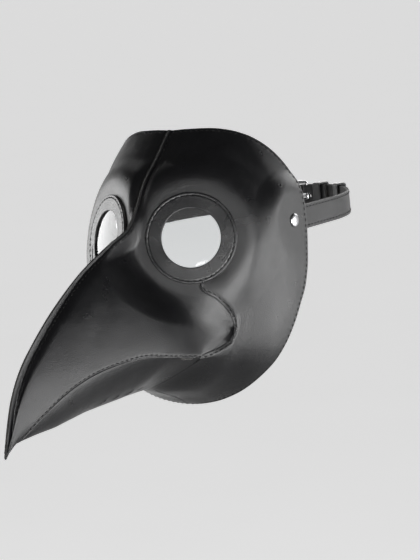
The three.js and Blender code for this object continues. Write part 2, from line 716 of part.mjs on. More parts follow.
// A round heel bar joined to a flat wire on the other three sides.
function buckleFrame() {
  const end = FRAME_LENGTH + BAR_RADIUS;
  const corner = 2 * BAR_RADIUS;
  const half = frameHeight / 2;
  const inner = frameWindow / 2;
  const wire = new THREE.Shape();
  wire.moveTo(0, -half);
  wire.lineTo(end - corner, -half);
  wire.absarc(end - corner, -half + corner, corner, -Math.PI / 2, 0);
  wire.lineTo(end, half - corner);
  wire.absarc(end - corner, half - corner, corner, 0, Math.PI / 2);
  wire.lineTo(0, half);
  wire.absarc(0, half - BAR_RADIUS, BAR_RADIUS, Math.PI / 2, Math.PI * 1.5);
  wire.lineTo(end - 2 * BAR_RADIUS, inner);
  wire.lineTo(end - 2 * BAR_RADIUS, -inner);
  wire.lineTo(0, -inner);
  wire.absarc(0, -half + BAR_RADIUS, BAR_RADIUS, Math.PI / 2, Math.PI * 1.5);
  const flat = new THREE.ExtrudeGeometry(
    wire, { depth: 2 * BAR_RADIUS, bevelEnabled: false, curveSegments: 6 });
  flat.translate(0, 0, -BAR_RADIUS).rotateX(-Math.PI / 2);
  const bar = new THREE.CylinderGeometry(BAR_RADIUS, BAR_RADIUS, frameHeight - BAR_RADIUS, SMALL_SIDES);
  bar.rotateX(Math.PI / 2);
  return ontoBuckle(toGeometry(toSolid(flat).add(toSolid(bar))));
}

// The prong's eye turns on the heel bar, and its tip rests on the end bar.
function buckleProng() {
  const bore = BAR_RADIUS + FIT;
  const wall = bore + PRONG_EYE_WALL;
  const half = PRONG_EYE_WIDTH / 2;
  const profile = [[bore, -half], [wall, -half], [wall, half], [bore, half], [bore, -half]];
  const eye = new THREE.LatheGeometry(profile.map(([r, h]) => new THREE.Vector2(r, h)), SMALL_SIDES);
  eye.rotateX(Math.PI / 2);
  const rest = BAR_RADIUS + FIT + PRONG_RADIUS;
  const from = new THREE.Vector3((bore + wall) / 2, PRONG_RADIUS / 2, 0);
  const to = new THREE.Vector3(FRAME_LENGTH + BAR_RADIUS, rest, 0);
  const rod = rodAlong(PRONG_RADIUS, from, to, SMALL_SIDES / 2);
  return ontoBuckle(toGeometry(toSolid(eye).add(toSolid(rod))));
}

// A keeper is a band round the strap: layersIn and layersOut are the layers inside and outside of the
// left strap that it also holds.
function keeper(distance, layersIn, layersOut) {
  const low = -STRAP_THICKNESS / 2 - layersIn * overlap - 2 * FIT;
  const high = STRAP_THICKNESS / 2 + layersOut * overlap + 2 * FIT;
  const width = STRAP_WIDTH + 2 * FIT;
  const middle = (low + high) / 2;
  const outer = block(KEEPER_WIDTH, high - low + 2 * KEEPER_WALL, width + 2 * KEEPER_WALL, 0, middle);
  const inner = block(2 * KEEPER_WIDTH, high - low, width, 0, middle);
  return ontoArc(toGeometry(toSolid(outer).subtract(toSolid(inner))), -distance, arcRadius);
}

// ---------------------------------------------------------------- assembly

const finish = (color, roughness, metalness = 0) => ({ color, roughness, metalness });
const FACE_LEATHER = finish(0x1c1c1e, 0.42);
const RING_LEATHER = finish(0x222225, 0.45);
const STRAP_LEATHER = finish(0x1a1a1b, 0.5);
const STEEL = finish(0x9a9a9c, 0.3, 1);

const shell = faceShell();
const leftFace = facePanel(shell);

const mask = new THREE.Group();

function place(name, geometry, look, extra = {}) {
  const part = new THREE.Mesh(geometry, new THREE.MeshStandardMaterial({ ...look, ...extra }));
  part.name = name;
  mask.add(part);
}

function placePair(name, left, look, extra) {
  place(`left_${name}`, left, look, extra);
  place(`right_${name}`, mirrored(left), look, extra);
}

placePair('face_panel', leftFace, FACE_LEATHER);
place('beak_underside', beakUnderside(shell), FACE_LEATHER);
placePair('eye_ring', eyeRing(), RING_LEATHER);
placePair('lens', lens(), finish(0xe8eef0, 0.05), { transparent: true, opacity: 0.3 });
placePair('strap_rivet', strapRivet(), STEEL);
placePair('rivet_back_cap', rivetBackCap(), STEEL);
place('left_strap', leftStrap(), STRAP_LEATHER);
place('right_strap', rightStrap(), STRAP_LEATHER);
place('buckle_frame', buckleFrame(), STEEL);
place('buckle_prong', buckleProng(), STEEL);
place('fixed_keeper', keeper(FIXED_KEEPER_AT, 1, 1), STRAP_LEATHER);
place('sliding_keeper', keeper(SLIDING_KEEPER_AT, 0, 1), STRAP_LEATHER);

export default mask;
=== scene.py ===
# A plague doctor mask: the fine model of its leather, stitching, lenses, straps and buckle, around the
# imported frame. The mask's lengths are in millimetres until a mesh is made. Meshes, the camera, the lights
# and the floor are in metres.

import json
import math

import bpy
import numpy as np
from mathutils import Matrix, Vector, kdtree, noise
from mathutils.bvhtree import BVHTree
from mathutils.geometry import delaunay_2d_cdt


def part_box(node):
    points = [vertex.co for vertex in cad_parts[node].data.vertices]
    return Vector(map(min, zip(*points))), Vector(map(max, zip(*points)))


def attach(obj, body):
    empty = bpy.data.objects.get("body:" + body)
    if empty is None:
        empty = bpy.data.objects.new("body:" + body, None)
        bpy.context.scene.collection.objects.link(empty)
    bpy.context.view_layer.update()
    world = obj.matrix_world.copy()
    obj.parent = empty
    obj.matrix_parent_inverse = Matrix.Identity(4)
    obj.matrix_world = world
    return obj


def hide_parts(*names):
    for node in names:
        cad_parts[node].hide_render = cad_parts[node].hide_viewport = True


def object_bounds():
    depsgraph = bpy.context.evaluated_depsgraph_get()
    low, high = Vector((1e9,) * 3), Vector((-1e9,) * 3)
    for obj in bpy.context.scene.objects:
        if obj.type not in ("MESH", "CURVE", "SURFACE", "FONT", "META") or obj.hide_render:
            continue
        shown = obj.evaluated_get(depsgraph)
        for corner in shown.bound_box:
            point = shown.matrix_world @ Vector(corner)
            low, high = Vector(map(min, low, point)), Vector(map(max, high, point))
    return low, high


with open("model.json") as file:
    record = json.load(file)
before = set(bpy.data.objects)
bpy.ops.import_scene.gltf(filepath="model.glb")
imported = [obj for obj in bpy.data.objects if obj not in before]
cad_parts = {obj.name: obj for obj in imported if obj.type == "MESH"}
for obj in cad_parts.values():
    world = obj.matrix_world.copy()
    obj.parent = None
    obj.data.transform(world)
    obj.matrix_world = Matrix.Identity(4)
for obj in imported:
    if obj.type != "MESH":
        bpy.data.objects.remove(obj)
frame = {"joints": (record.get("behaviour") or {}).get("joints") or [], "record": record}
cad_box = [list(corner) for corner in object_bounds()]

MM = 0.001
SIDES = (("left", 1), ("right", -1))
MIRROR = [-1, 1, 1]
mounts = {m["name"]: m for m in frame["record"]["mounts"]}
joints = {j["name"]: j for j in frame["joints"]}


def in_mm(values):
    return np.array(list(values), float) / MM


def node_box(name):
    """Lowest and highest corner of a CAD node, in mm."""
    low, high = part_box(name)
    return in_mm(low), in_mm(high)


# ---------------------------------------------------------------- driving dimensions

BEAK_LENGTH = -node_box("left_face_panel")[0][1]
FACE_DEPTH = 83.0
BROW_HEIGHT = 74.0
CHIN_DROP = 131.0
HALF_WIDTH = 84.0

LEATHER = 1.8  # thickness of the face leather away from the sewn edges
SEAM_GAP = 0.3  # between the two halves at the centre
EYE_TURN = math.radians(30.4)
RING_RADIUS = 33.4
RING_HOLE = 21.5
RING_THICKNESS = 2.2
FIT = 0.3
LENS_THICKNESS = 0.8
LENS_LAP = 7.0
EYE_CUT = RING_HOLE + 2.5  # radius of the hole in the face leather
EYE_SEAT = 5.0
EYE_FADE = 27.0

eye_normal = np.array(mounts["left_ring_face"]["axis"], float)
eye_normal /= np.linalg.norm(eye_normal)
lens_low, lens_high = node_box("left_lens")
eye_centre = (lens_low + lens_high) / 2 - eye_normal * (FIT + LENS_THICKNESS / 2)

left_pivot = in_mm(joints["left_strap_swing"]["pos_m"])
pad_plane = in_mm(mounts["left_temple_pad"]["pos_m"])[0]
PAD_RADIUS = 20.0
PAD_FADE = 18.0
POST_RADIUS = 2.0
CAP_RADIUS = 5.0
CAP_HEIGHT = 1.6

VENT_RADIUS = 1.5
VENTS = [44.0, 58.0, 72.0, 86.0]  # forward of the eye line
VENT_RISE = 5.0

FIN_HEIGHT = 4.4  # the two halves stand up along the ridge, sewn face to face
FIN_LEATHER = 0.75  # each half is pared this thin there
FIN_SPREAD = 13.0

STRAP_WIDTH = 18.0
STRAP_THICKNESS = 2.0
BAR_RADIUS = 1.2
FRAME_LENGTH = 26.0
BUCKLE_ANGLE = math.radians(84)
FOLD_LENGTH = 22.0
FOLD_EASE = 9.0
SLOT_WIDTH = 5.4
PRONG_RADIUS = 1.0
CLIMB = 10.0
CLIMB_TOP = 2.0
DIP_START = 8.0
DIP_EASE = 14.0
TAIL_LENGTH = 55.0
HOLE_WIDTH = 3.4
HOLE_BEFORE = 3.4
HOLE_AFTER = 10.6
HOLE_PITCH = 17.0
HOLE_PLACES = range(-2, 4)
KEEPER_WIDTH = 8.0
KEEPER_WALL = 1.6
FIXED_KEEPER_AT = 13.0
SLIDING_KEEPER_AT = 38.0

# Rails of the face: depths are shares of BEAK_LENGTH ahead of the eye line and of FACE_DEPTH behind it,
# heights are shares of BROW_HEIGHT above it and of CHIN_DROP below it, widths are shares of HALF_WIDTH.
RIDGE = np.array([
    [-1, -0.912], [-0.992, -0.863], [-0.977, -0.795], [-0.933, -0.638], [-0.868, -0.502], [-0.77, -0.374],
    [-0.645, -0.243], [-0.465, -0.092], [-0.253, 0.053], [-0.137, 0.153], [-0.081, 0.284], [0, 0.554],
    [0.241, 0.79], [0.434, 1], [0.72, 1.24], [1.25, 1.44]])
KEEL = np.array([
    [-1, -0.926], [-0.977, -0.893], [-0.93, -0.86], [-0.7, -0.848], [-0.5, -0.824], [-0.11, -0.823],
    [-0.026, -0.87], [0.15, -0.925], [0.36, -0.992], [0.72, -1.055], [1.25, -1.085]])
SIDE = np.array([
    [-1, -0.919, 0.006], [-0.977, -0.855, 0.028], [-0.93, -0.775, 0.06], [-0.86, -0.742, 0.104],
    [-0.77, -0.7, 0.152], [-0.65, -0.628, 0.225], [-0.51, -0.58, 0.315], [-0.365, -0.567, 0.415],
    [-0.24, -0.598, 0.512], [-0.135, -0.63, 0.583], [-0.055, -0.61, 0.645], [0.06, -0.52, 0.74],
    [0.24, -0.38, 0.863], [0.43, -0.23, 0.946], [0.66, -0.09, 0.992], [1.25, 0, 1.005]])
FULLNESS = np.array([
    [-1, 2, 2, 2, 2], [-0.93, 2, 2, 2, 2], [-0.77, 1.5, 1.7, 1.5, 1.6], [-0.33, 1.25, 1.5, 1.3, 1.3],
    [-0.11, 1.1, 1.2, 1.05, 1.1], [0, 1.3, 1.8, 2.2, 2], [0.12, 2.3, 2, 2.7, 2], [0.24, 2.6, 2, 3.1, 2],
    [0.43, 2.4, 2, 3.6, 2], [1.25, 2, 2, 3.6, 2]])
LOWER_SEAM = np.array([
    [-0.93, -0.86], [-0.838, -0.76], [-0.714, -0.66], [-0.595, -0.6], [-0.465, -0.572], [-0.351, -0.567],
    [-0.227, -0.603], [-0.097, -0.641]])
CREASE = np.array([[-0.097, -0.641], [-0.11, -0.823]])
DART = np.array([
    [0.12, -0.1], [-0.029, -0.25], [-0.006, -0.344], [0.064, -0.443], [0.079, -0.51], [0.055, -0.569],
    [-0.036, -0.614], [-0.097, -0.641]])
REAR_EDGE = np.array([
    [0.42, 1.03], [0.58, 1], [0.75, 0.85], [0.88, 0.63], [0.965, 0.38], [1, 0.07], [0.975, -0.153],
    [0.9, -0.35], [0.79, -0.47], [0.66, -0.618], [0.53, -0.74], [0.41, -0.84], [0.362, -0.93],
    [0.355, -1.03]])


# ---------------------------------------------------------------- surface of the face

def smoothstep(x, low, high):
    t = np.clip((x - low) / (high - low), 0, 1)
    return t * t * (3 - 2 * t)


def scaled(rows):
    """Rows of shares as rows in mm."""
    made = np.array(rows, float)
    made[:, 0] *= np.where(made[:, 0] < 0, BEAK_LENGTH, FACE_DEPTH)
    made[:, 1] *= np.where(made[:, 1] < 0, CHIN_DROP, BROW_HEIGHT)
    if made.shape[1] > 2:
        made[:, 2] *= HALF_WIDTH
    return made


def rail(rows, column):
    """Smooth curve through rows of position and values, for one column of values."""
    at, value = rows[:, 0], rows[:, column]
    last = len(at) - 1
    after = np.minimum(np.arange(last + 1) + 1, last)
    before = np.maximum(np.arange(last + 1) - 1, 0)
    slope = (value[after] - value[before]) / (at[after] - at[before])

    def curve(x):
        i = np.clip(np.searchsorted(at, x) - 1, 0, last - 1)
        span = at[i + 1] - at[i]
        t = np.clip((x - at[i]) / span, 0, 1)
        start = t * (1 - t) ** 2 * span * slope[i]
        end = t * t * (t - 1) * span * slope[i + 1]
        return value[i] + (value[i + 1] - value[i]) * t * t * (3 - 2 * t) + start + end

    return curve


ridge_height = rail(scaled(RIDGE), 1)
keel_height = rail(scaled(KEEL), 1)
side_height = rail(scaled(SIDE), 1)
side_width = rail(scaled(SIDE), 2)
full_rows = FULLNESS.copy()
full_rows[:, 0] *= np.where(full_rows[:, 0] < 0, BEAK_LENGTH, FACE_DEPTH)
fullness = [rail(full_rows, column) for column in (1, 2, 3, 4)]


def section_point(depth, turn):
    """Bare left half of the section: turn is 0 at the ridge, 1 at the widest point and 2 at the keel."""
    upper = turn <= 1
    angle = np.where(upper, turn, 2 - turn) * math.pi / 2
    height_power = np.where(upper, fullness[0](depth), fullness[2](depth))
    width_power = np.where(upper, fullness[1](depth), fullness[3](depth))
    middle = side_height(depth)
    end = np.where(upper, ridge_height(depth), keel_height(depth))
    rise = np.maximum(np.cos(angle), 0) ** (2 / height_power)
    reach = np.maximum(np.sin(angle), 0) ** (2 / width_power)
    return np.stack([side_width(depth) * reach, depth, middle + (end - middle) * rise], -1)


FLATS = [
    (eye_centre, eye_normal, RING_RADIUS + EYE_SEAT, EYE_FADE),
    (np.array([pad_plane, left_pivot[1], left_pivot[2]]), np.array([1.0, 0, 0]), PAD_RADIUS, PAD_FADE),
]
centre_fade = eye_centre[0] - (RING_RADIUS + 1) * math.cos(EYE_TURN)


def skin_point(depth, turn):
    """Leather surface, pressed flat under the ring and round the rivet."""
    point = section_point(depth, turn)
    for centre, normal, radius, fade in FLATS:
        offset = point - centre
        above = offset @ normal
        across = np.linalg.norm(offset - above[..., None] * normal, axis=-1)
        hold = 1 - smoothstep(across, radius, radius + fade)
        clear = smoothstep(point[..., 0], 0, centre_fade)
        point = point - (above * hold * clear)[..., None] * normal
    return point


PROBE = 0.05


def ridge_up(depth):
    """Direction away from the mask at the ridge, in the centre plane."""
    slope = (ridge_height(depth + PROBE) - ridge_height(depth - PROBE)) / (2 * PROBE)
    long = np.sqrt(1 + slope * slope)
    return np.stack([np.zeros_like(long), -slope / long, 1 / long], -1)


def fin_height(depth):
    """The fin is highest towards the beak's tip, and low between the eyes and up the forehead."""
    whole = FIN_HEIGHT * (1 - 0.5 * smoothstep(depth, -140, -75) - 0.26 * smoothstep(depth, -75, -15))
    return np.minimum(whole, 0.35 * (ridge_height(depth) - keel_height(depth)))


FIN_SIDE = SEAM_GAP / 2 + FIN_LEATHER


def formed_point(depth, turn):
    """The skin with its fin along the ridge: turn runs from -1 at the fin's edge to 0 at its foot."""
    body_turn = np.maximum(turn, 0)
    point = skin_point(depth, body_turn)
    height = fin_height(depth)
    up = ridge_up(depth)
    ridge = np.stack([np.zeros_like(depth), depth, ridge_height(depth)], -1)
    reach = np.linalg.norm(point - ridge, axis=-1)
    upper = 1 - smoothstep(body_turn, 0.3, 0.9)
    lowered = (1 - smoothstep(reach, 0, FIN_SPREAD)) * upper
    point = point + up * (height * (np.maximum(-turn, 0) - lowered))[..., None]
    point[..., 0] += FIN_SIDE * (1 - smoothstep(reach, 0, FIN_SPREAD / 2)) * upper
    point[..., 0] = np.maximum(point[..., 0], SEAM_GAP / 2)
    return point


# ---------------------------------------------------------------- the leather laid flat
# A place on the leather is (a, b): a is the length along the mask and b the length round its section from
# the fin's foot, so that the plane has nearly the leather's own lengths. b is negative on the fin.

half_turn = (1 - np.cos(np.linspace(0, math.pi, 150))) / 2
TURNS = np.concatenate([half_turn, 1 + half_turn[1:]])
DEPTHS = np.linspace(-BEAK_LENGTH, FACE_DEPTH + 6, 640)
grid = section_point(DEPTHS[:, None] + 0 * TURNS, TURNS + 0 * DEPTHS[:, None])
ROUND = np.concatenate([
    np.zeros((len(DEPTHS), 1)), np.cumsum(np.linalg.norm(np.diff(grid, axis=1), axis=-1), axis=1)], axis=1)
ridge_slope = np.gradient(ridge_height(DEPTHS), DEPTHS)
ALONG = np.concatenate([[0], np.cumsum(np.diff(DEPTHS) * np.sqrt(1 + 0.4 * ridge_slope[1:] ** 2))])


def row_of(depth):
    place = np.clip((depth - DEPTHS[0]) / (DEPTHS[1] - DEPTHS[0]), 0, len(DEPTHS) - 1.001)
    low = place.astype(int)
    return low, (place - low)[:, None]


def to_plane(depth, turn):
    depth, turn = np.broadcast_arrays(np.asarray(depth, float), np.asarray(turn, float))
    low, share = row_of(depth)
    column = np.clip(np.searchsorted(TURNS, turn) - 1, 0, len(TURNS) - 2)
    part = np.clip((turn - TURNS[column]) / (TURNS[column + 1] - TURNS[column]), 0, 1)
    share = share[:, 0]
    near = ROUND[low, column] * (1 - share) + ROUND[low + 1, column] * share
    far = ROUND[low, column + 1] * (1 - share) + ROUND[low + 1, column + 1] * share
    b = near + (far - near) * part
    b = np.where(turn < 0, turn * fin_height(depth), b)
    return np.stack([np.interp(depth, DEPTHS, ALONG), b], -1)


def from_plane(points):
    depth = np.interp(points[:, 0], ALONG, DEPTHS)
    b = points[:, 1]
    low, share = row_of(depth)
    lengths = ROUND[low] * (1 - share) + ROUND[low + 1] * share
    column = np.clip((lengths < b[:, None]).sum(1) - 1, 0, len(TURNS) - 2)
    every = np.arange(len(b))
    near, far = lengths[every, column], lengths[every, column + 1]
    part = np.clip((b - near) / np.maximum(far - near, 1e-9), 0, 1)
    turn = TURNS[column] + (TURNS[column + 1] - TURNS[column]) * part
    turn = np.where(b < 0, np.maximum(b / fin_height(depth), -1), turn)
    return depth, turn


def on_face(points):
    return formed_point(*from_plane(points))


def turn_at(depth, height):
    """Where the bare section has a height."""
    low, high = np.zeros_like(depth), np.full_like(depth, 2)
    for _ in range(40):
        middle = (low + high) / 2
        above = section_point(depth, middle)[..., 2] > height
        low, high = np.where(above, middle, low), np.where(above, high, middle)
    return (low + high) / 2


def locate(surface, axes, targets, depth, turn):
    """Newton's method: the places whose points have the target coordinates along two axes."""
    small = 1e-4
    for _ in range(12):
        miss = surface(depth, turn) @ axes.T - targets
        along = (surface(depth + small, turn) @ axes.T - targets - miss) / small
        around = (surface(depth, turn + small) @ axes.T - targets - miss) / small
        det = along[:, 0] * around[:, 1] - along[:, 1] * around[:, 0]
        det = np.where(abs(det) < 1e-6, 1e-6, det)
        depth = depth - np.clip((miss[:, 0] * around[:, 1] - miss[:, 1] * around[:, 0]) / det, -4, 4)
        turn = turn - np.clip((along[:, 0] * miss[:, 1] - along[:, 1] * miss[:, 0]) / det, -0.1, 0.1)
    return depth, turn


# ---------------------------------------------------------------- lines in a plane

def spline(rows, count):
    """Uniform Catmull-Rom curve through points, with the first and last points repeated beyond the ends."""
    points = np.array(rows, float)
    t = np.linspace(0, len(points) - 1, count + 1)
    i = np.minimum(t.astype(int), len(points) - 2)
    w = (t - i)[:, None]
    p0, p1 = points[np.maximum(i - 1, 0)], points[i]
    p2, p3 = points[i + 1], points[np.minimum(i + 2, len(points) - 1)]
    v0, v1 = (p2 - p0) / 2, (p3 - p1) / 2
    return hermite(p1, p2, v0, v1, w)


def hermite(p1, p2, v1, v2, w):
    """Cubic from p1 to p2 with slopes v1 and v2."""
    ramp = w * w * (3 - 2 * w)
    return p1 + (p2 - p1) * ramp + w * (1 - w) ** 2 * v1 + w * w * (w - 1) * v2


def lengths_of(line):
    return np.concatenate([[0], np.cumsum(np.linalg.norm(np.diff(line, axis=0), axis=1))])


def read_along(places, at, rows):
    """Rows of values, which stand at lengths along a line, read at other lengths."""
    return np.stack([np.interp(places, at, column) for column in rows.T], -1)


def resampled(line, step):
    at = lengths_of(line)
    count = max(int(round(at[-1] / step)), 1)
    return read_along(np.linspace(0, at[-1], count + 1), at, line)


def unit(vectors):
    return vectors / np.linalg.norm(vectors, axis=-1, keepdims=True)


def spokes(angle):
    """Directions in a plane at angles from its first axis."""
    return np.stack([np.cos(angle), np.sin(angle)], -1)


def tree_of(points):
    """Search tree over points in the plane."""
    tree = kdtree.KDTree(len(points))
    for i, (x, y) in enumerate(points):
        tree.insert((x, y, 0), i)
    tree.balance()
    return tree


def sideways(line, distance):
    """The line moved to its left as it runs."""
    run = np.gradient(line, axis=0)
    run /= np.maximum(np.linalg.norm(run, axis=1), 1e-9)[:, None]
    return line + np.stack([-run[:, 1], run[:, 0]], -1) * distance


def inside(points, loop):
    x, y = points.T
    found = np.zeros(len(points), bool)
    for (x0, y0), (x1, y1) in zip(loop, np.roll(loop, -1, 0)):
        if y0 != y1:
            crosses = (y0 > y) != (y1 > y)
            found ^= crosses & (x < (x1 - x0) * (y - y0) / (y1 - y0) + x0)
    return found


class Near:
    """Signed distance from a line in the plane: positive to its left as it runs."""

    def __init__(self, line, step=0.2):
        self.line = resampled(line, step)
        self.run = np.gradient(self.line, axis=0)
        self.tree = tree_of(self.line)

    def __call__(self, points):
        found = [self.tree.find((x, y, 0)) for x, y in points]
        index = np.array([f[1] for f in found])
        distance = np.array([f[2] for f in found])
        offset = points - self.line[index]
        run = self.run[index]
        side = np.sign(run[:, 0] * offset[:, 1] - run[:, 1] * offset[:, 0])
        return distance, np.where(side == 0, 1, side), index / (len(self.line) - 1)


# ---------------------------------------------------------------- meshes

def make_object(name, points, faces, materials, face_material=None, sharp=None, body="mask", slot=None,
                replaces=()):
    """A smooth mesh object from points in mm, riding on a body."""
    mesh = bpy.data.meshes.new(name)
    mesh.from_pydata((points * MM).tolist(), [], [list(map(int, face)) for face in faces])
    for material in materials:
        mesh.materials.append(material)
    mesh.polygons.foreach_set("use_smooth", np.ones(len(faces), bool))
    if face_material is not None:
        mesh.polygons.foreach_set("material_index", np.asarray(face_material, np.int32))
    mesh.validate()
    mesh.update()
    if sharp is not None:
        wanted = {frozenset(map(int, pair)) for pair in sharp}
        flags = [frozenset(edge.vertices) in wanted for edge in mesh.edges]
        mesh.attributes.new("sharp_edge", "BOOLEAN", "EDGE").data.foreach_set("value", flags)
    made = bpy.data.objects.new(name, mesh)
    bpy.context.scene.collection.objects.link(made)
    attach(made, body)
    if replaces:
        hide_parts(*replaces)
    return made


def vertex_normals(points, triangles):
    corners = points[triangles]
    face = np.cross(corners[:, 1] - corners[:, 0], corners[:, 2] - corners[:, 0])
    total = np.zeros_like(points)
    for k in range(3):
        np.add.at(total, triangles[:, k], face)
    return total / np.maximum(np.linalg.norm(total, axis=1), 1e-12)[:, None]


def lattice(low, high, spacing):
    """Points of a triangular lattice over a box in the plane."""
    rows = np.arange(low[1], high[1], spacing * math.sqrt(3) / 2)
    made = []
    for k, b in enumerate(rows):
        a = np.arange(low[0] + (k % 2) * spacing / 2, high[0], spacing)
        made.append(np.stack([a, np.full_like(a, b)], -1))
    return np.concatenate(made)


def triangulate(outline, holes, rows, spacing):
    """Triangles that fill an outline with holes. rows are extra lines of points, kept where they fit."""
    loops = [outline, *holes]
    border = np.concatenate(loops)
    tree = tree_of(border)

    def fits(points, room):
        keep = inside(points, outline)
        for hole in holes:
            keep &= ~inside(points, hole)
        far = [tree.find((x, y, 0))[2] > room for x, y in points]
        return points[keep & np.array(far)]

    extra = [fits(row, room) for row, room in rows]
    extra = [row for row in extra if len(row)]
    taken = tree_of(np.concatenate([border, *extra]))
    free = fits(lattice(border.min(0), border.max(0), spacing), spacing * 0.4)
    free = free[[taken.find((x, y, 0))[2] > spacing * 0.55 for x, y in free]]
    points = np.concatenate([border, *extra, free])
    edges, start = [], 0
    for loop in loops:
        count = len(loop)
        edges += [(start + i, start + (i + 1) % count) for i in range(count)]
        start += count
    found = delaunay_2d_cdt([Vector(p) for p in points], edges, [], 0, 1e-5)
    made = np.array([list(p) for p in found[0]])
    triangles = np.array([list(face) for face in found[2]])
    middle = made[triangles].mean(1)
    keep = inside(middle, outline)
    for hole in holes:
        keep &= ~inside(middle, hole)
    triangles = triangles[keep]
    a, b, c = (made[triangles[:, k]] for k in range(3))
    area = (b[:, 0] - a[:, 0]) * (c[:, 1] - a[:, 1]) - (b[:, 1] - a[:, 1]) * (c[:, 0] - a[:, 0])
    triangles = np.where((area < 0)[:, None], triangles[:, ::-1], triangles)
    triangles = triangles[abs(area) > 1e-5]
    used = np.unique(triangles)
    renumber = np.full(len(made), -1)
    renumber[used] = np.arange(len(used))
    return made[used], renumber[triangles]


def border_edges(triangles):
    """Directed edges that only one triangle has."""
    directed = np.concatenate([triangles[:, [0, 1]], triangles[:, [1, 2]], triangles[:, [2, 0]]])
    seen = set(map(tuple, directed))
    return [(i, j) for i, j in seen if (j, i) not in seen]


def thick_sheet(name, points, triangles, normals, thickness, materials, ease=None, **options):
    """A closed sheet of leather: outer face, inner face and cut edge, each with its own material."""
    count = len(points)
    inner = points - normals * thickness[:, None]
    if ease is not None:
        inner = ease(inner)
    edges = border_edges(triangles)
    rim = [(j, i, i + count, j + count) for i, j in edges]
    faces = [*triangles, *(triangles[:, ::-1] + count), *rim]
    kinds = [0] * len(triangles) + [1] * len(triangles) + [2] * len(rim)
    sharp = [*edges, *((i + count, j + count) for i, j in edges)]
    return make_object(name, np.concatenate([points, inner]), faces, materials, kinds, sharp, **options)


def grid_faces(rows, columns, closed_rows=False, closed_columns=True):
    made = []
    for i in range(rows if closed_rows else rows - 1):
        for j in range(columns if closed_columns else columns - 1):
            k, m = (i + 1) % rows, (j + 1) % columns
            made.append((i * columns + j, i * columns + m, k * columns + m, k * columns + j))
    return made


def basis_for(normal):
    """Two directions square to a normal."""
    side = unit(np.cross([0, 0, 1.0], normal))
    return side, np.cross(normal, side)


def revolved(profile, centre, axis, segments):
    """Points of a closed profile of radius and height turned about an axis, one row for each angle."""
    side, up = basis_for(axis)
    angle = np.linspace(0, 2 * math.pi, segments, endpoint=False)[:, None, None]
    spoke = np.cos(angle) * side + np.sin(angle) * up
    profile = np.array(profile, float)
    return centre + spoke * profile[None, :, 0:1] + axis * profile[None, :, 1:2]


def rounded_profile(corners, radius, steps=4):
    """A closed outline with its corners rounded."""
    corners = np.array(corners, float)
    made = []
    for before, corner, after in zip(np.roll(corners, 1, 0), corners, np.roll(corners, -1, 0)):
        into, out = before - corner, after - corner
        cut = min(radius, np.linalg.norm(into) / 2.05, np.linalg.norm(out) / 2.05)
        start = corner + into / np.linalg.norm(into) * cut
        end = corner + out / np.linalg.norm(out) * cut
        for t in np.linspace(0, 1, steps):
            made.append((1 - t) ** 2 * start + 2 * t * (1 - t) * corner + t * t * end)
    return np.array(made)


# ---------------------------------------------------------------- materials

def new_material(name, color, roughness, **sockets):
    made = bpy.data.materials.new(name)
    made.use_nodes = True
    shader = made.node_tree.nodes["Principled BSDF"]
    shader.inputs["Base Color"].default_value = (*color, 1)
    shader.inputs["Roughness"].default_value = roughness
    for socket, value in sockets.items():
        shader.inputs[socket.replace("_", " ")].default_value = value
    return made, made.node_tree, shader


def texture(tree, kind, scale, **settings):
    """A 3-D texture in the object's own coordinates, with its scale in features for each metre."""
    place = tree.nodes.get("place") or tree.nodes.new("ShaderNodeTexCoord")
    place.name = "place"
    node = tree.nodes.new(kind)
    node.inputs["Scale"].default_value = scale
    for key, value in settings.items():
        if key in node.inputs:
            node.inputs[key].default_value = value
        else:
            setattr(node, key, value)
    tree.links.new(place.outputs["Object"], node.inputs["Vector"])
    return node


def ramp(tree, source, low, high, positions=(0, 1)):
    """A texture's value turned into a colour between two."""
    node = tree.nodes.new("ShaderNodeValToRGB")
    for element, position, value in zip(node.color_ramp.elements, positions, (low, high)):
        element.position = position
        element.color = (*value, 1) if hasattr(value, "__len__") else (value, value, value, 1)
    tree.links.new(source, node.inputs["Fac"])
    return node.outputs["Color"]


def bump(tree, source, height, strength, before=None):
    node = tree.nodes.new("ShaderNodeBump")
    node.inputs["Distance"].default_value = height
    node.inputs["Strength"].default_value = strength
    tree.links.new(source, node.inputs["Height"])
    if before is not None:
        tree.links.new(before, node.inputs["Normal"])
    return node.outputs["Normal"]


def leather(name, dark, light, roughness, grain):
    """Coated leather: close grain cells, fine pores, and slow changes in colour and gloss."""
    made, tree, shader = new_material(name, dark, roughness[0], Specular_IOR_Level=0.5)
    cloud = texture(tree, "ShaderNodeTexNoise", 38, Detail=5.0, Roughness=0.6)
    tree.links.new(ramp(tree, cloud.outputs["Fac"], dark, light, (0.3, 0.75)), shader.inputs["Base Color"])
    smudge = texture(tree, "ShaderNodeTexNoise", 60, Detail=2.0)
    gloss = ramp(tree, smudge.outputs["Fac"], roughness[0], roughness[1], (0.3, 0.72))
    tree.links.new(gloss, shader.inputs["Roughness"])
    cells = texture(tree, "ShaderNodeTexVoronoi", 950, feature="DISTANCE_TO_EDGE")
    cell = ramp(tree, cells.outputs["Distance"], 0.0, 1.0, (0.0, 0.16))
    pores = texture(tree, "ShaderNodeTexNoise", 2600, Detail=3.0)
    creases = texture(tree, "ShaderNodeTexNoise", 210, Detail=7.0, Roughness=0.7, Distortion=0.5)
    normal = bump(tree, creases.outputs["Fac"], 0.0009, 0.09 * grain)
    normal = bump(tree, cell, 0.00012, 0.45 * grain, normal)
    normal = bump(tree, pores.outputs["Fac"], 0.0001, 0.30 * grain, normal)
    tree.links.new(normal, shader.inputs["Normal"])
    return made


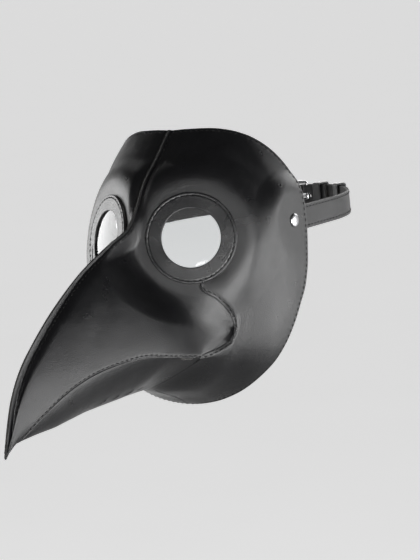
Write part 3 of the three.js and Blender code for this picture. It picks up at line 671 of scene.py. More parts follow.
def cut_edge():
    """The raw fibrous edge of the coated leather."""
    made, tree, shader = new_material("cut_edge", (0.03, 0.028, 0.027), 0.85)
    fibre = texture(tree, "ShaderNodeTexNoise", 1500, Detail=4.0)
    color = ramp(tree, fibre.outputs["Fac"], (0.006, 0.006, 0.006), (0.03, 0.028, 0.026), (0.3, 0.7))
    tree.links.new(color, shader.inputs["Base Color"])
    tree.links.new(bump(tree, fibre.outputs["Fac"], 0.0003, 0.6), shader.inputs["Normal"])
    return made


def backing_knit():
    """The brushed knit on the inner side."""
    made, tree, shader = new_material("backing_knit", (0.03, 0.03, 0.032), 0.9, Sheen_Weight=0.25)
    rows = texture(tree, "ShaderNodeTexWave", 260, wave_type="BANDS", bands_direction="Z", Distortion=1.5)
    columns = texture(tree, "ShaderNodeTexWave", 260, wave_type="BANDS", bands_direction="Y", Distortion=1.5)
    both = tree.nodes.new("ShaderNodeMath")
    both.operation = "MULTIPLY"
    tree.links.new(rows.outputs["Fac"], both.inputs[0])
    tree.links.new(columns.outputs["Fac"], both.inputs[1])
    color = ramp(tree, both.outputs[0], (0.012, 0.012, 0.013), (0.05, 0.05, 0.053))
    tree.links.new(color, shader.inputs["Base Color"])
    tree.links.new(bump(tree, both.outputs[0], 0.0004, 0.7), shader.inputs["Normal"])
    return made


def thread():
    made, tree, shader = new_material("thread", (0.004, 0.004, 0.004), 0.7, Specular_IOR_Level=0.2)
    twist = texture(tree, "ShaderNodeTexWave", 900, wave_type="BANDS", bands_direction="DIAGONAL")
    color = ramp(tree, twist.outputs["Fac"], (0.002, 0.002, 0.002), (0.012, 0.012, 0.012))
    tree.links.new(color, shader.inputs["Base Color"])
    tree.links.new(bump(tree, twist.outputs["Fac"], 0.0002, 0.8), shader.inputs["Normal"])
    return made


def plated(name, color, roughness):
    """Nickel plate with fine wear."""
    made, tree, shader = new_material(name, color, roughness[0], Metallic=1.0)
    wear = texture(tree, "ShaderNodeTexNoise", 900, Detail=8.0, Roughness=0.7)
    tree.links.new(ramp(tree, wear.outputs["Fac"], roughness[0], roughness[1], (0.35, 0.75)),
                   shader.inputs["Roughness"])
    tone = texture(tree, "ShaderNodeTexNoise", 300, Detail=4.0)
    darker = tuple(0.72 * c for c in color)
    tree.links.new(ramp(tree, tone.outputs["Fac"], darker, color, (0.3, 0.6)), shader.inputs["Base Color"])
    tree.links.new(bump(tree, wear.outputs["Fac"], 0.00005, 0.25), shader.inputs["Normal"])
    return made


def clear_plastic():
    made, tree, shader = new_material(
        "clear_plastic", (0.96, 0.98, 0.985), 0.03, Transmission_Weight=1.0, IOR=1.49)
    haze = texture(tree, "ShaderNodeTexNoise", 160, Detail=5.0)
    tree.links.new(ramp(tree, haze.outputs["Fac"], 0.02, 0.06, (0.4, 0.7)), shader.inputs["Roughness"])
    return made


FACE = [leather("face_leather", (0.002, 0.002, 0.0024), (0.005, 0.005, 0.0055), (0.27, 0.34), 1.0),
        backing_knit(), cut_edge()]
RING = [leather("ring_leather", (0.0025, 0.0025, 0.003), (0.006, 0.006, 0.0065), (0.25, 0.29), 0.8), FACE[1],
        FACE[2]]
STRAP = [leather("strap_leather", (0.005, 0.005, 0.0055), (0.010, 0.010, 0.0105), (0.38, 0.5), 1.2),
         leather("strap_back", (0.014, 0.013, 0.013), (0.024, 0.022, 0.021), (0.6, 0.72), 1.4), FACE[2]]
THREAD = thread()
RIVET_STEEL = plated("rivet_steel", (0.40, 0.40, 0.41), (0.22, 0.38))
BUCKLE_STEEL = plated("buckle_steel", (0.58, 0.58, 0.59), (0.16, 0.32))
LENS_PLASTIC = clear_plastic()


# ---------------------------------------------------------------- stitches

STITCH_LENGTH = 2.7
STITCH_PITCH = 4.2
STITCH_RADIUS = 0.36
STITCH_SIDES = 8
STITCH_STATIONS = 7
STITCH_PROBE = 0.4  # how far to each side of a stitch its direction is read


def stitch_shape():
    """One stitch along x: a bowed thread whose ends go down into the leather."""
    points = []
    for u in np.linspace(-1, 1, STITCH_STATIONS):
        radius = STITCH_RADIUS * math.sqrt(max(1 - abs(u) ** 6, 0.04))
        rise = STITCH_RADIUS * (0.55 - 1.5 * abs(u) ** 3)
        for k in range(STITCH_SIDES):
            angle = 2 * math.pi * k / STITCH_SIDES
            points.append((u * STITCH_LENGTH / 2, radius * math.cos(angle), rise + radius * math.sin(angle)))
    faces = grid_faces(STITCH_STATIONS, STITCH_SIDES)
    last = (STITCH_STATIONS - 1) * STITCH_SIDES
    faces.append(tuple(reversed(range(STITCH_SIDES))))
    faces.append(tuple(last + k for k in range(STITCH_SIDES)))
    return np.array(points), faces


def stitching(name, runs, body="mask"):
    """Stitches along lines of points with normals, in mm, as one piece."""
    shape, faces = stitch_shape()
    points, made = [], []
    for line, normals in runs:
        at = lengths_of(line)
        count = max(int(at[-1] / STITCH_PITCH), 1)
        places = (np.arange(count) + 0.5) * at[-1] / count
        spots = read_along(places, at, line)
        up = read_along(places, at, normals)
        ahead = read_along(places + STITCH_PROBE, at, line)
        along = unit(ahead - read_along(places - STITCH_PROBE, at, line))
        up = unit(up - along * (up * along).sum(1)[:, None])
        side = np.cross(up, along)
        for spot, x, y, z in zip(spots, along, side, up):
            base = sum(map(len, points))
            points.append(spot + shape @ np.stack([x, y, z]))
            made += [tuple(base + i for i in face) for face in faces]
    return make_object(name, np.concatenate(points), made, [THREAD], body=body)


# ---------------------------------------------------------------- face panels

def side_line(rows, count=240):
    return spline(scaled(rows), count)


def face_lines():
    """The edges of the left panel, as lines in the plane."""
    seam = side_line(LOWER_SEAM)
    seam_turn = turn_at(seam[:, 0], seam[:, 1])
    crease = side_line(CREASE, 60)
    crease_turn = turn_at(crease[:, 0], crease[:, 1])
    crease_turn[-1] = 2
    seam_turn[0] = 2
    seam_turn[-1] = crease_turn[0]

    rear = side_line(REAR_EDGE, 700)
    held = (rear[:, 1] < ridge_height(rear[:, 0])) & (rear[:, 1] > keel_height(rear[:, 0]))
    rear = rear[held]
    rear_turn = turn_at(rear[:, 0], rear[:, 1])
    rear_turn[0], rear_turn[-1] = 0, 2

    dart = side_line(DART)
    side_axes = np.array([[0, 1.0, 0], [0, 0, 1.0]])
    depth, turn = locate(skin_point, side_axes, dart, dart[:, 0], turn_at(dart[:, 0], dart[:, 1]))
    offset = skin_point(depth, turn) - eye_centre
    across = offset - (offset @ eye_normal)[:, None] * eye_normal
    first = across[0]
    depth[-1], turn[-1] = seam[-1, 0], seam_turn[-1]

    side, up = basis_for(eye_normal)
    axes = np.stack([side, up])
    zero = math.atan2(first @ up, first @ side)
    angle = zero + np.linspace(0, 2 * math.pi, 260)
    targets = spokes(angle) * EYE_CUT + axes @ eye_centre
    spots = eye_centre + EYE_CUT * (np.cos(angle)[:, None] * side + np.sin(angle)[:, None] * up)
    eye_depth, eye_turn = locate(
        section_point, axes, targets, spots[:, 1], turn_at(spots[:, 1], spots[:, 2]))
    eye = to_plane(eye_depth, eye_turn)
    vents = -np.array(VENTS)
    return {
        "seam": to_plane(seam[:, 0], seam_turn),
        "crease": to_plane(crease[:, 0], crease_turn),
        "rear": to_plane(rear[:, 0], rear_turn),
        "dart": np.concatenate([eye[:1], to_plane(depth, turn)]),
        "eye": eye,
        "tip": to_plane(np.full(60, -BEAK_LENGTH), np.linspace(2, -1, 60)),
        "fin": to_plane(np.linspace(-BEAK_LENGTH, rear[0, 0], 500), -1),
        "front_keel": to_plane(np.linspace(seam[0, 0], -BEAK_LENGTH, 60), 2),
        "chin": to_plane(np.linspace(rear[-1, 0], crease[-1, 0], 150), 2),
        "vents": to_plane(vents, turn_at(vents, keel_height(vents) + VENT_RISE)),
    }


LINES = face_lines()
EDGE_STEP = 0.7
LATTICE = 1.25
SLIT = 0.05  # half the width of a closed seam between two edges


def face_outline():
    """The left panel's one outline, with the dart and the eye opening as a bay in it."""
    dart = resampled(LINES["dart"], EDGE_STEP)
    beak_side, cheek_side = sideways(dart, SLIT), sideways(dart, -SLIT)
    if beak_side[len(dart) // 2, 0] > cheek_side[len(dart) // 2, 0]:
        beak_side, cheek_side = cheek_side, beak_side
    eye = resampled(LINES["eye"], EDGE_STEP)[1:-1]
    if np.linalg.norm(eye[0] - cheek_side[0]) > np.linalg.norm(eye[-1] - cheek_side[0]):
        eye = eye[::-1]
    parts = [
        resampled(LINES["fin"], EDGE_STEP)[:-1],
        resampled(LINES["rear"], EDGE_STEP),
        resampled(LINES["chin"], EDGE_STEP)[1:-1],
        resampled(LINES["crease"], EDGE_STEP)[::-1][:-1] + [SLIT, 0],
        cheek_side[::-1],
        eye,
        beak_side[:-1],
        (resampled(LINES["seam"], EDGE_STEP)[::-1] - [0, SLIT])[:-1],
        resampled(LINES["front_keel"], EDGE_STEP),
        resampled(LINES["tip"], EDGE_STEP)[1:-1],
    ]
    return np.concatenate(parts)


def circle(centre, radius, count):
    return centre + radius * spokes(np.linspace(0, 2 * math.pi, count, endpoint=False))


def rivet_hole(centre):
    return circle(centre, POST_RADIUS + FIT, 24)


STITCH_INSET = 2.2  # stitch line from a sewn edge
SEAM_INSET = 1.0  # the lower seam and the dart are sewn close beside the edge
EDGE_ROLL = 0.6


def edge_roll(distance, radius=EDGE_ROLL):
    near = np.clip(distance, 0, radius)
    return radius - np.sqrt(radius ** 2 - (radius - near) ** 2)


def groove(distance, inset=STITCH_INSET, depth=0.22, width=0.4):
    return depth * np.exp(-((distance - inset) / width) ** 2)


def rows_beside(line, sides, insets=(0.25, 0.55, 0.95, 1.5, STITCH_INSET, 2.9, 3.8)):
    dense = resampled(line, EDGE_STEP)
    return [(sideways(dense, side * inset), inset * 0.75) for side in sides for inset in insets]


DART_DEPTH = 1.5  # how far the leather is drawn in along the dart, at its lower end
DART_CHEEK_WIDTH = 1.2
DART_BEAK_WIDTH = 3.8
DART_SWELL = 0.5  # height of the soft swell on the cheek beside the dart
GATHER_HEIGHT = 0.34
GATHER_LENGTH = 9.1
GATHER_REACH = 4.0


def dart_depth(share):
    return DART_DEPTH * smoothstep(share, 0.2, 0.75)


def gathers(plane):
    """Puckers beside the sewn ridge and the slow wave that the stitching leaves."""
    depth, _ = from_plane(plane)
    along, away = plane.T
    along = along + 0.6 * np.sin(along / 7.3)
    fine, slow = (np.sin(2 * math.pi * along / length) for length in (STITCH_PITCH, GATHER_LENGTH))
    fade = np.exp(-np.maximum(away, 0) / GATHER_REACH) * smoothstep(away, -1, 1.5)
    return GATHER_HEIGHT * (fine * 0.35 + slow * 0.65) * fade * (1 - 0.7 * smoothstep(depth, -70, -20))


def slow_noise(points, scale, seed):
    return np.array([noise.noise(Vector((x / scale + seed, y / scale, z / scale))) for x, y, z in points])


def leather_wave(points):
    """The uneven lie of the leather. It depends only on the place, so that sewn edges stay together."""
    return 0.42 * slow_noise(points, 34, 3.1) + 0.16 * slow_noise(points, 13, 7.7)


def face_relief(plane):
    """Height of the sewn leather over the formed surface: edge rolls, stitch grooves, dart and gathers."""
    relief = np.zeros(len(plane))
    for name in ("seam", "crease", "chin", "front_keel", "rear"):
        distance, _, _ = NEAR[name](plane)
        relief -= edge_roll(distance)
        if name == "seam":
            relief -= groove(distance, SEAM_INSET)
        if name == "rear":
            relief -= groove(distance)
    distance, side, share = NEAR["dart"](plane)
    cheek = side * DART_CHEEK_SIDE > 0
    width = np.where(cheek, DART_CHEEK_WIDTH, DART_BEAK_WIDTH)
    relief -= dart_depth(share) * np.exp(-(distance / width) ** 2)
    swell = DART_SWELL * smoothstep(share, 0.1, 0.5) * np.exp(-((distance - 4) / 4) ** 2)
    relief += np.where(cheek, swell, 0)
    relief -= edge_roll(distance, 0.35)
    relief -= np.where(cheek, groove(distance, SEAM_INSET), 0)
    relief += gathers(plane)
    relief -= 0.25 * np.exp(-((plane[:, 1] - STITCH_INSET) / 0.45) ** 2) * (plane[:, 1] > 0)
    return relief


def calm(points):
    """How free the leather is to wave: not at all where it is pressed flat under a ring or a rivet."""
    free = np.ones(len(points))
    mirrored = points * MIRROR
    for centre, _, radius, _ in FLATS:
        for place in (points, mirrored):
            reach = np.linalg.norm(place - centre, axis=1)
            free *= smoothstep(reach, radius * 0.9, radius * 1.5)
    return free


NEAR = {name: Near(LINES[name]) for name in ("seam", "crease", "chin", "front_keel", "rear", "dart")}


def face_thickness(plane, points, normals):
    """Full leather on the face, pared at the fin, and never past the centre plane."""
    full = FIN_LEATHER + (LEATHER - FIN_LEATHER) * smoothstep(plane[:, 1], 2, 10)
    room = (points[:, 0] - SEAM_GAP / 2) / np.maximum(normals[:, 0], 0.25)
    return np.clip(np.minimum(full, 0.96 * room), 0.05, None)


def check_cheek_side():
    """The sign of the side of the dart that the cheek is on."""
    probe = to_plane(np.array([20.0]), np.array([1.0]))
    return NEAR["dart"](probe)[1][0]


DART_CHEEK_SIDE = check_cheek_side()


def face_panels():
    rows = rows_beside(LINES["seam"], (-1, 1)) + rows_beside(LINES["dart"], (-1, 1))
    rows += rows_beside(LINES["crease"], (-1, 1), (0.3, 0.8, 1.5)) + rows_beside(LINES["rear"], (-1, 1))
    rows += rows_beside(LINES["chin"], (-1, 1), (0.3, 0.8, 1.5))
    foot = to_plane(DEPTHS[:-16], 0)
    for b in (-2.0, -1.0, 0.0, 0.6, 1.2, STITCH_INSET - 0.4, STITCH_INSET, STITCH_INSET + 0.4, 3.4, 4.4):
        rows.append((resampled(foot, 0.8) + [0, b], 0.5))
    rivet = rivet_hole(to_plane(left_pivot[1:2], turn_at(left_pivot[1:2], left_pivot[2:3]))[0])
    plane, triangles = triangulate(face_outline(), [rivet], rows, LATTICE)
    triangles = triangles[:, ::-1]
    base = on_face(plane)
    normals = vertex_normals(base, triangles)
    points = base + normals * face_relief(plane)[:, None]
    points[:, 0] = np.maximum(points[:, 0], SEAM_GAP / 2)
    bodies = {}
    for hand, side in SIDES:
        name = f"{hand}_face_panel"
        flip = np.array([side, 1, 1])
        shown = points * flip
        order = triangles if side > 0 else triangles[:, ::-1]
        wave = leather_wave(shown) * calm(shown)
        shown = shown + normals * flip * wave[:, None]
        shown[:, 0] = side * np.maximum(side * shown[:, 0], SEAM_GAP / 2)
        fresh = vertex_normals(shown, order)
        thickness = face_thickness(plane, shown * flip, fresh * flip)

        def ease(inner, side=side):
            inner[:, 0] = side * np.maximum(side * inner[:, 0], SEAM_GAP / 2)
            return inner

        thick_sheet(name + "_leather", shown, order, fresh, thickness, FACE, ease,
                    slot="face_leather", replaces=[name])
        bodies[name] = BVHTree.FromPolygons(shown.tolist(), order.tolist())
    return bodies


def on_surface(tree, line):
    """The nearest places on a surface for a line of points, with normals evened out over five of them."""
    places, normals = [], []
    for point in line:
        place, normal, _, _ = tree.find_nearest(Vector(point))
        places.append(place)
        normals.append(normal)
    normals = np.array(normals)
    smooth = np.stack([np.convolve(np.pad(column, 2, "edge"), np.ones(5) / 5, "valid")
                       for column in normals.T], -1)
    return np.array(places), smooth


def lower_side(line, inset, axis):
    """The line moved to that side where its middle has the lower value along an axis of the plane."""
    middle = len(line) // 2
    moved = sideways(line, inset)
    return sideways(line, -inset) if moved[middle, axis] > line[middle, axis] else moved


def face_stitching(trees):
    """Black thread along the ridge, the lower seam, the dart and the rear edge."""
    seam = resampled(LINES["seam"], 1.0)
    dart = resampled(LINES["dart"], 1.0)
    rear = resampled(LINES["rear"], 1.0)
    foot = resampled(to_plane(DEPTHS[:-16], 0), 1.0)
    seam_line = lower_side(seam, SEAM_INSET, 1)
    rear_line = lower_side(rear, STITCH_INSET, 0)
    foot = foot[(foot[:, 0] > 6) & (foot[:, 0] < LINES["rear"][0, 0] - 3)]
    lines = {
        "ridge_stitching": foot + [0, STITCH_INSET],
        "lower_seam_stitching": seam_line[6:-3],
        "dart_stitching": sideways(dart, DART_CHEEK_SIDE * SEAM_INSET)[10:-3],
        "rear_edge_stitching": rear_line[4:-4],
    }
    for name, line in lines.items():
        base = on_face(line)
        stitching("left_" + name, [on_surface(trees["left_face_panel"], base)])
        stitching("right_" + name, [on_surface(trees["right_face_panel"], base * MIRROR)])


TAPE_WIDTH = 9.0
TAPE_THICKNESS = 0.7
TAPE_DEPTH = LEATHER * 0.9  # the tapes start a little inside the leather, as if glued to it


def tape_faces(points, rows, out):
    """Triangles and normals of rows of points, turned the way that is out."""
    quads = np.array(grid_faces(rows, len(points) // rows, closed_columns=False))
    triangles = np.concatenate([quads[:, [0, 1, 2]], quads[:, [0, 2, 3]]])
    normals = vertex_normals(points, triangles)
    if (normals @ out).mean() < 0:
        return triangles[:, ::-1], -normals
    return triangles, normals


def dart_tape():
    """Tape that covers the dart on the inner side, so that no light comes through the seam."""
    dart = resampled(LINES["dart"], 1.0)[6:]
    across = np.linspace(-TAPE_WIDTH / 2, TAPE_WIDTH / 2, 9)
    plane = np.concatenate([sideways(dart, offset) for offset in across])
    base = on_face(plane)
    triangles, normals = tape_faces(base, len(across), np.array([1.0, 0, 0]))
    distance, _, share = NEAR["dart"](plane)
    deep = dart_depth(share) * np.exp(-(distance / DART_BEAK_WIDTH) ** 2)
    points = base - normals * (deep + TAPE_DEPTH)[:, None]
    for name, side in SIDES:
        flip = np.array([side, 1, 1])
        order = triangles if side > 0 else triangles[:, ::-1]
        thickness = np.full(len(points), TAPE_THICKNESS)
        thick_sheet(f"{name}_dart_tape", points * flip, order, normals * flip, thickness, [FACE[1]] * 3)


def centre_tape(name, line, inwards, up):
    """Tape that joins the two halves on the inner side, along the ridge or the chin."""
    offsets = np.array([4.5, 3.2, 2.0, 1.0, 0.4])
    left = [on_face(line + [0, inwards * offset]) for offset in offsets]
    right = [row * MIRROR for row in reversed(left)]
    points = np.concatenate(left + right)
    triangles, normals = tape_faces(points, 2 * len(offsets), np.array([0, 0, up]))
    thickness = np.full(len(points), TAPE_THICKNESS)
    thick_sheet(name, points - normals * TAPE_DEPTH, triangles, normals, thickness, [FACE[1]] * 3)


def centre_tapes():
    foot = resampled(to_plane(DEPTHS[:-16], 0), 1.5)
    foot = foot[(foot[:, 0] > 60) & (foot[:, 0] < LINES["rear"][0, 0] - 1)]
    centre_tape("ridge_tape", foot, 1, 1)
    centre_tape("chin_tape", resampled(LINES["chin"], 1.5)[1:-1], -1, -1)


# ---------------------------------------------------------------- underside of the beak

def underside():
    """One piece that crosses the centre plane: the left half is cut, and mirrored."""
    seam = resampled(LINES["seam"], EDGE_STEP) + [0, SLIT]
    crease = resampled(LINES["crease"], EDGE_STEP) - [SLIT, 0]
    keel = to_plane(np.linspace(np.interp(crease[-1, 0], ALONG, DEPTHS), side_line(LOWER_SEAM)[0, 0], 200), 2)
    keel = resampled(keel, EDGE_STEP)
    outline = np.concatenate([seam[1:-1], crease[:-1], keel[:-1]])
    holes = [circle(spot, VENT_RADIUS, 20) for spot in LINES["vents"]]
    rows = rows_beside(LINES["seam"], (-1, 1)) + rows_beside(LINES["crease"], (-1, 1), (0.3, 0.8, 1.5))
    rows += [(circle(spot, VENT_RADIUS + more, 20), 0.2) for spot in LINES["vents"] for more in (0.3, 0.8)]
    plane, triangles = triangulate(outline, holes, rows, LATTICE)
    triangles = triangles[:, ::-1]
    depth, turn = from_plane(plane)
    base = skin_point(depth, turn)
    middle = abs(turn - 2) < 1e-3
    base[middle, 0] = 0
    relief = np.zeros(len(plane))
    for name in ("seam", "crease"):
        relief -= edge_roll(NEAR[name](plane)[0])
    vents = np.min([np.linalg.norm(plane - spot, axis=1) for spot in LINES["vents"]], axis=0) - VENT_RADIUS
    relief -= edge_roll(vents, 0.5)
    relief += 0.3 * np.exp(-((vents - 1.1) / 0.6) ** 2)
    kept = np.flatnonzero(~middle)
    partner = np.arange(len(plane))
    partner[kept] = len(plane) + np.arange(len(kept))
    mirror = partner[triangles][:, ::-1]
    points = np.concatenate([base, base[kept] * MIRROR])
    both = np.concatenate([triangles, mirror])
    relief = np.concatenate([relief, relief[kept]])
    normals = vertex_normals(points, both)
    points = points + normals * (relief + leather_wave(points))[:, None]
    normals = vertex_normals(points, both)
    room = 0.4 * (ridge_height(points[:, 1]) - keel_height(points[:, 1]))
    thickness = np.minimum(LEATHER, np.maximum(room, 0.2))
    thick_sheet("beak_underside_leather", points, both, normals, thickness, FACE,
                slot="face_leather", replaces=["beak_underside"])


# ---------------------------------------------------------------- eyes

RING_SEGMENTS = 192
STITCH_SINK = 0.2
RING_SLOPE = 0.04  # the rings thin out towards their outer edges


def eye_rings():
    """Flat leather rings with rounded edges, and a row of stitches pulled down into a groove."""
    lens_top = FIT + LENS_THICKNESS + FIT
    lap = RING_HOLE + LENS_LAP + FIT
    top = FIT + RING_THICKNESS
    stitch_row = RING_RADIUS - STITCH_INSET
    upper = []
    for r in np.linspace(RING_HOLE, RING_RADIUS, 64):
        edge = edge_roll(np.minimum(r - RING_HOLE, RING_RADIUS - r), 0.7)
        upper.append((r, top - edge - groove(r, stitch_row) - RING_SLOPE * (r - RING_HOLE)))
    profile = [(RING_HOLE, lens_top), *upper, (RING_RADIUS, FIT), (lap, FIT), (lap, lens_top)]
    kinds = [2] + [0] * (len(upper) - 1) + [2, 1, 1, 1]
    for name, side in SIDES:
        flip = np.array([side, 1, 1])
        centre, normal = eye_centre * flip, eye_normal * flip
        points = revolved(profile, centre, normal, RING_SEGMENTS)
        angle = np.linspace(0, 2 * math.pi, RING_SEGMENTS, endpoint=False)
        sway = 0.10 * np.sin(3 * angle + 1 + side) + 0.07 * np.sin(7 * angle)
        points[:, 1:len(upper)] += normal * sway[:, None, None]
        faces = grid_faces(RING_SEGMENTS, len(profile), closed_rows=True)
        points = points.reshape(-1, 3)
        faces, kinds_all = oriented(points, faces), kinds * RING_SEGMENTS
        made = make_object(f"{name}_eye_ring_leather", points, faces, RING, kinds_all,
                           slot="ring_leather", replaces=[f"{name}_eye_ring"])
        sharpen(made, 50)
        sunk = STITCH_SINK + RING_SLOPE * (stitch_row - RING_HOLE)
        line = revolved([(stitch_row, top - sunk)], centre, normal, 240)[:, 0]
        line = np.concatenate([line, line[:1]])
        stitching(f"{name}_ring_stitching", [(line, np.tile(normal, (len(line), 1)))])


def volume(points, faces):
    total = 0.0
    for face in faces:
        for k in range(1, len(face) - 1):
            a, b, c = points[face[0]], points[face[k]], points[face[k + 1]]
            total += np.dot(a, np.cross(b, c))
    return total


def oriented(points, faces):
    """The faces with their fronts out."""
    centre = points.mean(0)
    return faces if volume(points - centre, faces) > 0 else [tuple(face[::-1]) for face in faces]


def sharpen(made, degrees):
    """Marks an object's edges sharp where its faces turn more than an angle."""
    made.data.set_sharp_from_angle(angle=math.radians(degrees))


def turned_solid(name, profile, centre, axis, segments, material, sharp_angle, **options):
    """A solid of revolution, whose profile starts and ends next to the axis."""
    points = revolved(profile, centre, axis, segments).reshape(-1, 3)
    count = len(profile)
    faces = grid_faces(segments, count, closed_rows=True, closed_columns=False)
    faces.append(tuple(k * count for k in range(segments)))
    faces.append(tuple(k * count + count - 1 for k in range(segments - 1, -1, -1)))
    sharpen(make_object(name, points, oriented(points, faces), [material], **options), sharp_angle)


LENS_DOME = 1.0


def lenses():
    """Clear sheet, held flat under the ring and slightly domed inside it."""
    radius = RING_HOLE + LENS_LAP
    upper, lower = [], []
    for r in np.linspace(0.05, radius, 40):
        dome = LENS_DOME * max(1 - (r / RING_HOLE) ** 2, 0) if r < RING_HOLE else 0
        upper.append((r, FIT + LENS_THICKNESS + dome))
        lower.append((r, FIT + dome))
    profile = upper + lower[::-1]
    for name, side in SIDES:
        flip = np.array([side, 1, 1])
        turned_solid(f"{name}_clear_lens", profile, eye_centre * flip, eye_normal * flip, 128, LENS_PLASTIC,
                     40, slot="lens_plastic", replaces=[f"{name}_lens"])


# ---------------------------------------------------------------- rivets

def rivet_piece(name, profile, side, node):
    """A solid turned about the rivet's axis, which lies along X."""
    profile = np.array(profile, float)
    profile[:, 0] = np.maximum(profile[:, 0], 0.02)
    centre = np.array([0.0, left_pivot[1], left_pivot[2]])
    turned_solid(name, profile, centre, np.array([side, 0.0, 0]), 64, RIVET_STEEL, 45,
                 slot="rivet_steel", replaces=[node])


def cap_dome(face, height, radius=CAP_RADIUS, outwards=1):
    """Outline of a cap from its flat face's edge to the top of its dome."""
    made = [(radius - 0.15, face), (radius, face + outwards * 0.15)]
    for t in np.linspace(0.12, 1, 14):
        angle = t * math.pi / 2
        made.append((radius * math.cos(angle) ** 0.8, face + outwards * height * math.sin(angle) ** 0.9))
    return made


def rivets():
    strap_inside = strap_outside - STRAP_THICKNESS
    for name, side in SIDES:
        face = pad_plane + FIT
        end = strap_inside - FIT - CAP_HEIGHT / 2
        rivet_piece(f"{name}_rivet_cap_and_post", [
            (0, end), (POST_RADIUS - 0.2, end), (POST_RADIUS, end + 0.2), (POST_RADIUS, face),
            *cap_dome(face, CAP_HEIGHT)], side, f"{name}_strap_rivet")
        back = strap_inside - FIT
        hollow = back - CAP_HEIGHT / 2 - FIT
        rivet_piece(f"{name}_rivet_cap_inside", [
            *cap_dome(back, CAP_HEIGHT, outwards=-1)[::-1], (POST_RADIUS + FIT, back),
            (POST_RADIUS + FIT, hollow), (0, hollow)], side, f"{name}_rivet_back_cap")


# ---------------------------------------------------------------- straps

arc_radius = left_pivot[0]
strap_outside = arc_radius + STRAP_THICKNESS / 2
arc_centre = in_mm(joints["sliding_keeper_travel"]["pos_m"])[1]
bar_gap = BAR_RADIUS + FIT + STRAP_THICKNESS / 2
bar_radial = arc_radius - bar_gap
overlap = STRAP_THICKNESS + FIT
strap_level = left_pivot[2]
strap_start = left_pivot[1] - STRAP_WIDTH / 2


def on_arc(distance, radius):
    """Place seen from above, at a distance along the arc from the heel bar towards the right strap."""
    angle = BUCKLE_ANGLE + np.asarray(distance, float) / arc_radius
    return np.stack([radius * np.cos(angle), arc_centre + radius * np.sin(angle)], -1)


def ease_curve(t):
    return (1 - np.cos(math.pi * np.clip(t, 0, 1))) / 2


def left_strap_line():
    """Middle of the left strap seen from above, and the length along it at the heel bar."""
    side = np.linspace(-BUCKLE_ANGLE * arc_radius, 0, 160)
    straight = np.stack([np.full(60, arc_radius), np.linspace(strap_start, arc_centre, 60)], -1)
    turn = BUCKLE_ANGLE + np.linspace(0, math.pi, 26)[1:-1]
    fold = on_arc(0, bar_radial) + bar_gap * spokes(turn)
    back = np.linspace(0, -FOLD_LENGTH, 60)
    open_share = 1 - ease_curve(-back / FOLD_EASE)
    closing = on_arc(back, arc_radius - overlap - (2 * bar_gap - overlap) * open_share)
    before = np.concatenate([straight[:-1], on_arc(side, arc_radius)])
    return np.concatenate([before, fold, closing]), lengths_of(before)[-1]


def right_strap_line():
    """Middle of the right strap from its tail, and the length along it at the heel bar."""
    right_side = (math.pi - BUCKLE_ANGLE) * arc_radius
    at = np.linspace(-TAIL_LENGTH, right_side, 460)
    low = bar_radial - bar_gap
    high = arc_radius + overlap
    climb = high + (low - high) * ease_curve((at - CLIMB_TOP) / CLIMB)
    dip = low + (arc_radius - low) * ease_curve((at - FRAME_LENGTH - DIP_START) / DIP_EASE)
    radius = np.where(at < CLIMB_TOP + CLIMB, climb, dip)
    arc = on_arc(at, radius)
    end = np.stack([np.full(60, -arc_radius), np.linspace(arc_centre, strap_start, 60)], -1)
    return np.concatenate([arc, end[1:]]), np.interp(0, at, lengths_of(arc))


def oblong(start, end, width):
    """Loop of a slot with round ends, along the strap's middle."""
    radius = width / 2
    turn = np.linspace(-math.pi / 2, math.pi / 2, 10)
    right = np.stack([end - radius + radius * np.cos(turn), radius * np.sin(turn)], -1)
    left = np.stack([start + radius - radius * np.cos(turn), -radius * np.sin(turn)], -1)
    return np.concatenate([right, left])


def half_round(at, sign):
    """Round end of a strap: sign is -1 at the start of the strap and 1 at its end."""
    radius = STRAP_WIDTH / 2
    turn = np.linspace(-math.pi / 2, math.pi / 2, 30)
    return np.stack([at + sign * radius * np.cos(turn), sign * radius * np.sin(turn)], -1)


STRAP_ROLL = 0.55
STRAP_DIP = 0.18  # depth of the stitch lines


def straight_line(start, end, across, step=1.0):
    """A line along the strap, at a distance from its middle."""
    return resampled(np.array([[start, across], [end, across]]), step)


def strap_band(name, line, outline, holes, stitch_lines, node, body):
    """Strap leather that follows a line seen from above. Its outline and holes are along and across it.
    Returns the function that puts such places into the frame."""
    at = lengths_of(line)
    run = unit(np.gradient(line, axis=0))
    out = np.stack([run[:, 1], -run[:, 0]], -1)

    def place(plane, lift):
        away = unit(read_along(plane[:, 0], at, out))
        flat = read_along(plane[:, 0], at, line) + away * np.asarray(lift)[:, None]
        points = np.column_stack([flat, strap_level + plane[:, 1]])
        return points, np.column_stack([away, np.zeros(len(plane))])

    rows = []
    for inset in (0.15, 0.35, 0.6, 1.0, STITCH_INSET - 0.4, STITCH_INSET, STITCH_INSET + 0.4, 3.2):
        for side in (-1, 1):
            b = side * (STRAP_WIDTH / 2 - inset)
            rows.append((straight_line(0, at[-1], b, 0.9), 0.12))
    for hole in holes:
        middle = hole.mean(0)
        for more in (0.25, 0.6, 1.1):
            rows.append((middle + (hole - middle) * (1 + more / np.abs(hole - middle).max(0)), 0.2))
    plane, triangles = triangulate(outline, holes, rows, 1.3)
    near_loops = [Near(np.concatenate([loop, loop[:1]]))(plane)[0] for loop in (outline, *holes)]
    dips = sum(STRAP_DIP * np.exp(-((plane[:, 1] - row) / 0.4) ** 2) for row in stitch_lines)
    roll = edge_roll(np.min(near_loops, axis=0), STRAP_ROLL)
    upper, normals = place(plane, STRAP_THICKNESS / 2 - roll - dips)
    thickness = STRAP_THICKNESS - 2 * roll - dips
    thick_sheet(name, upper, triangles, normals, thickness, STRAP, body=body, slot="strap_leather",
                replaces=[node])
    return place


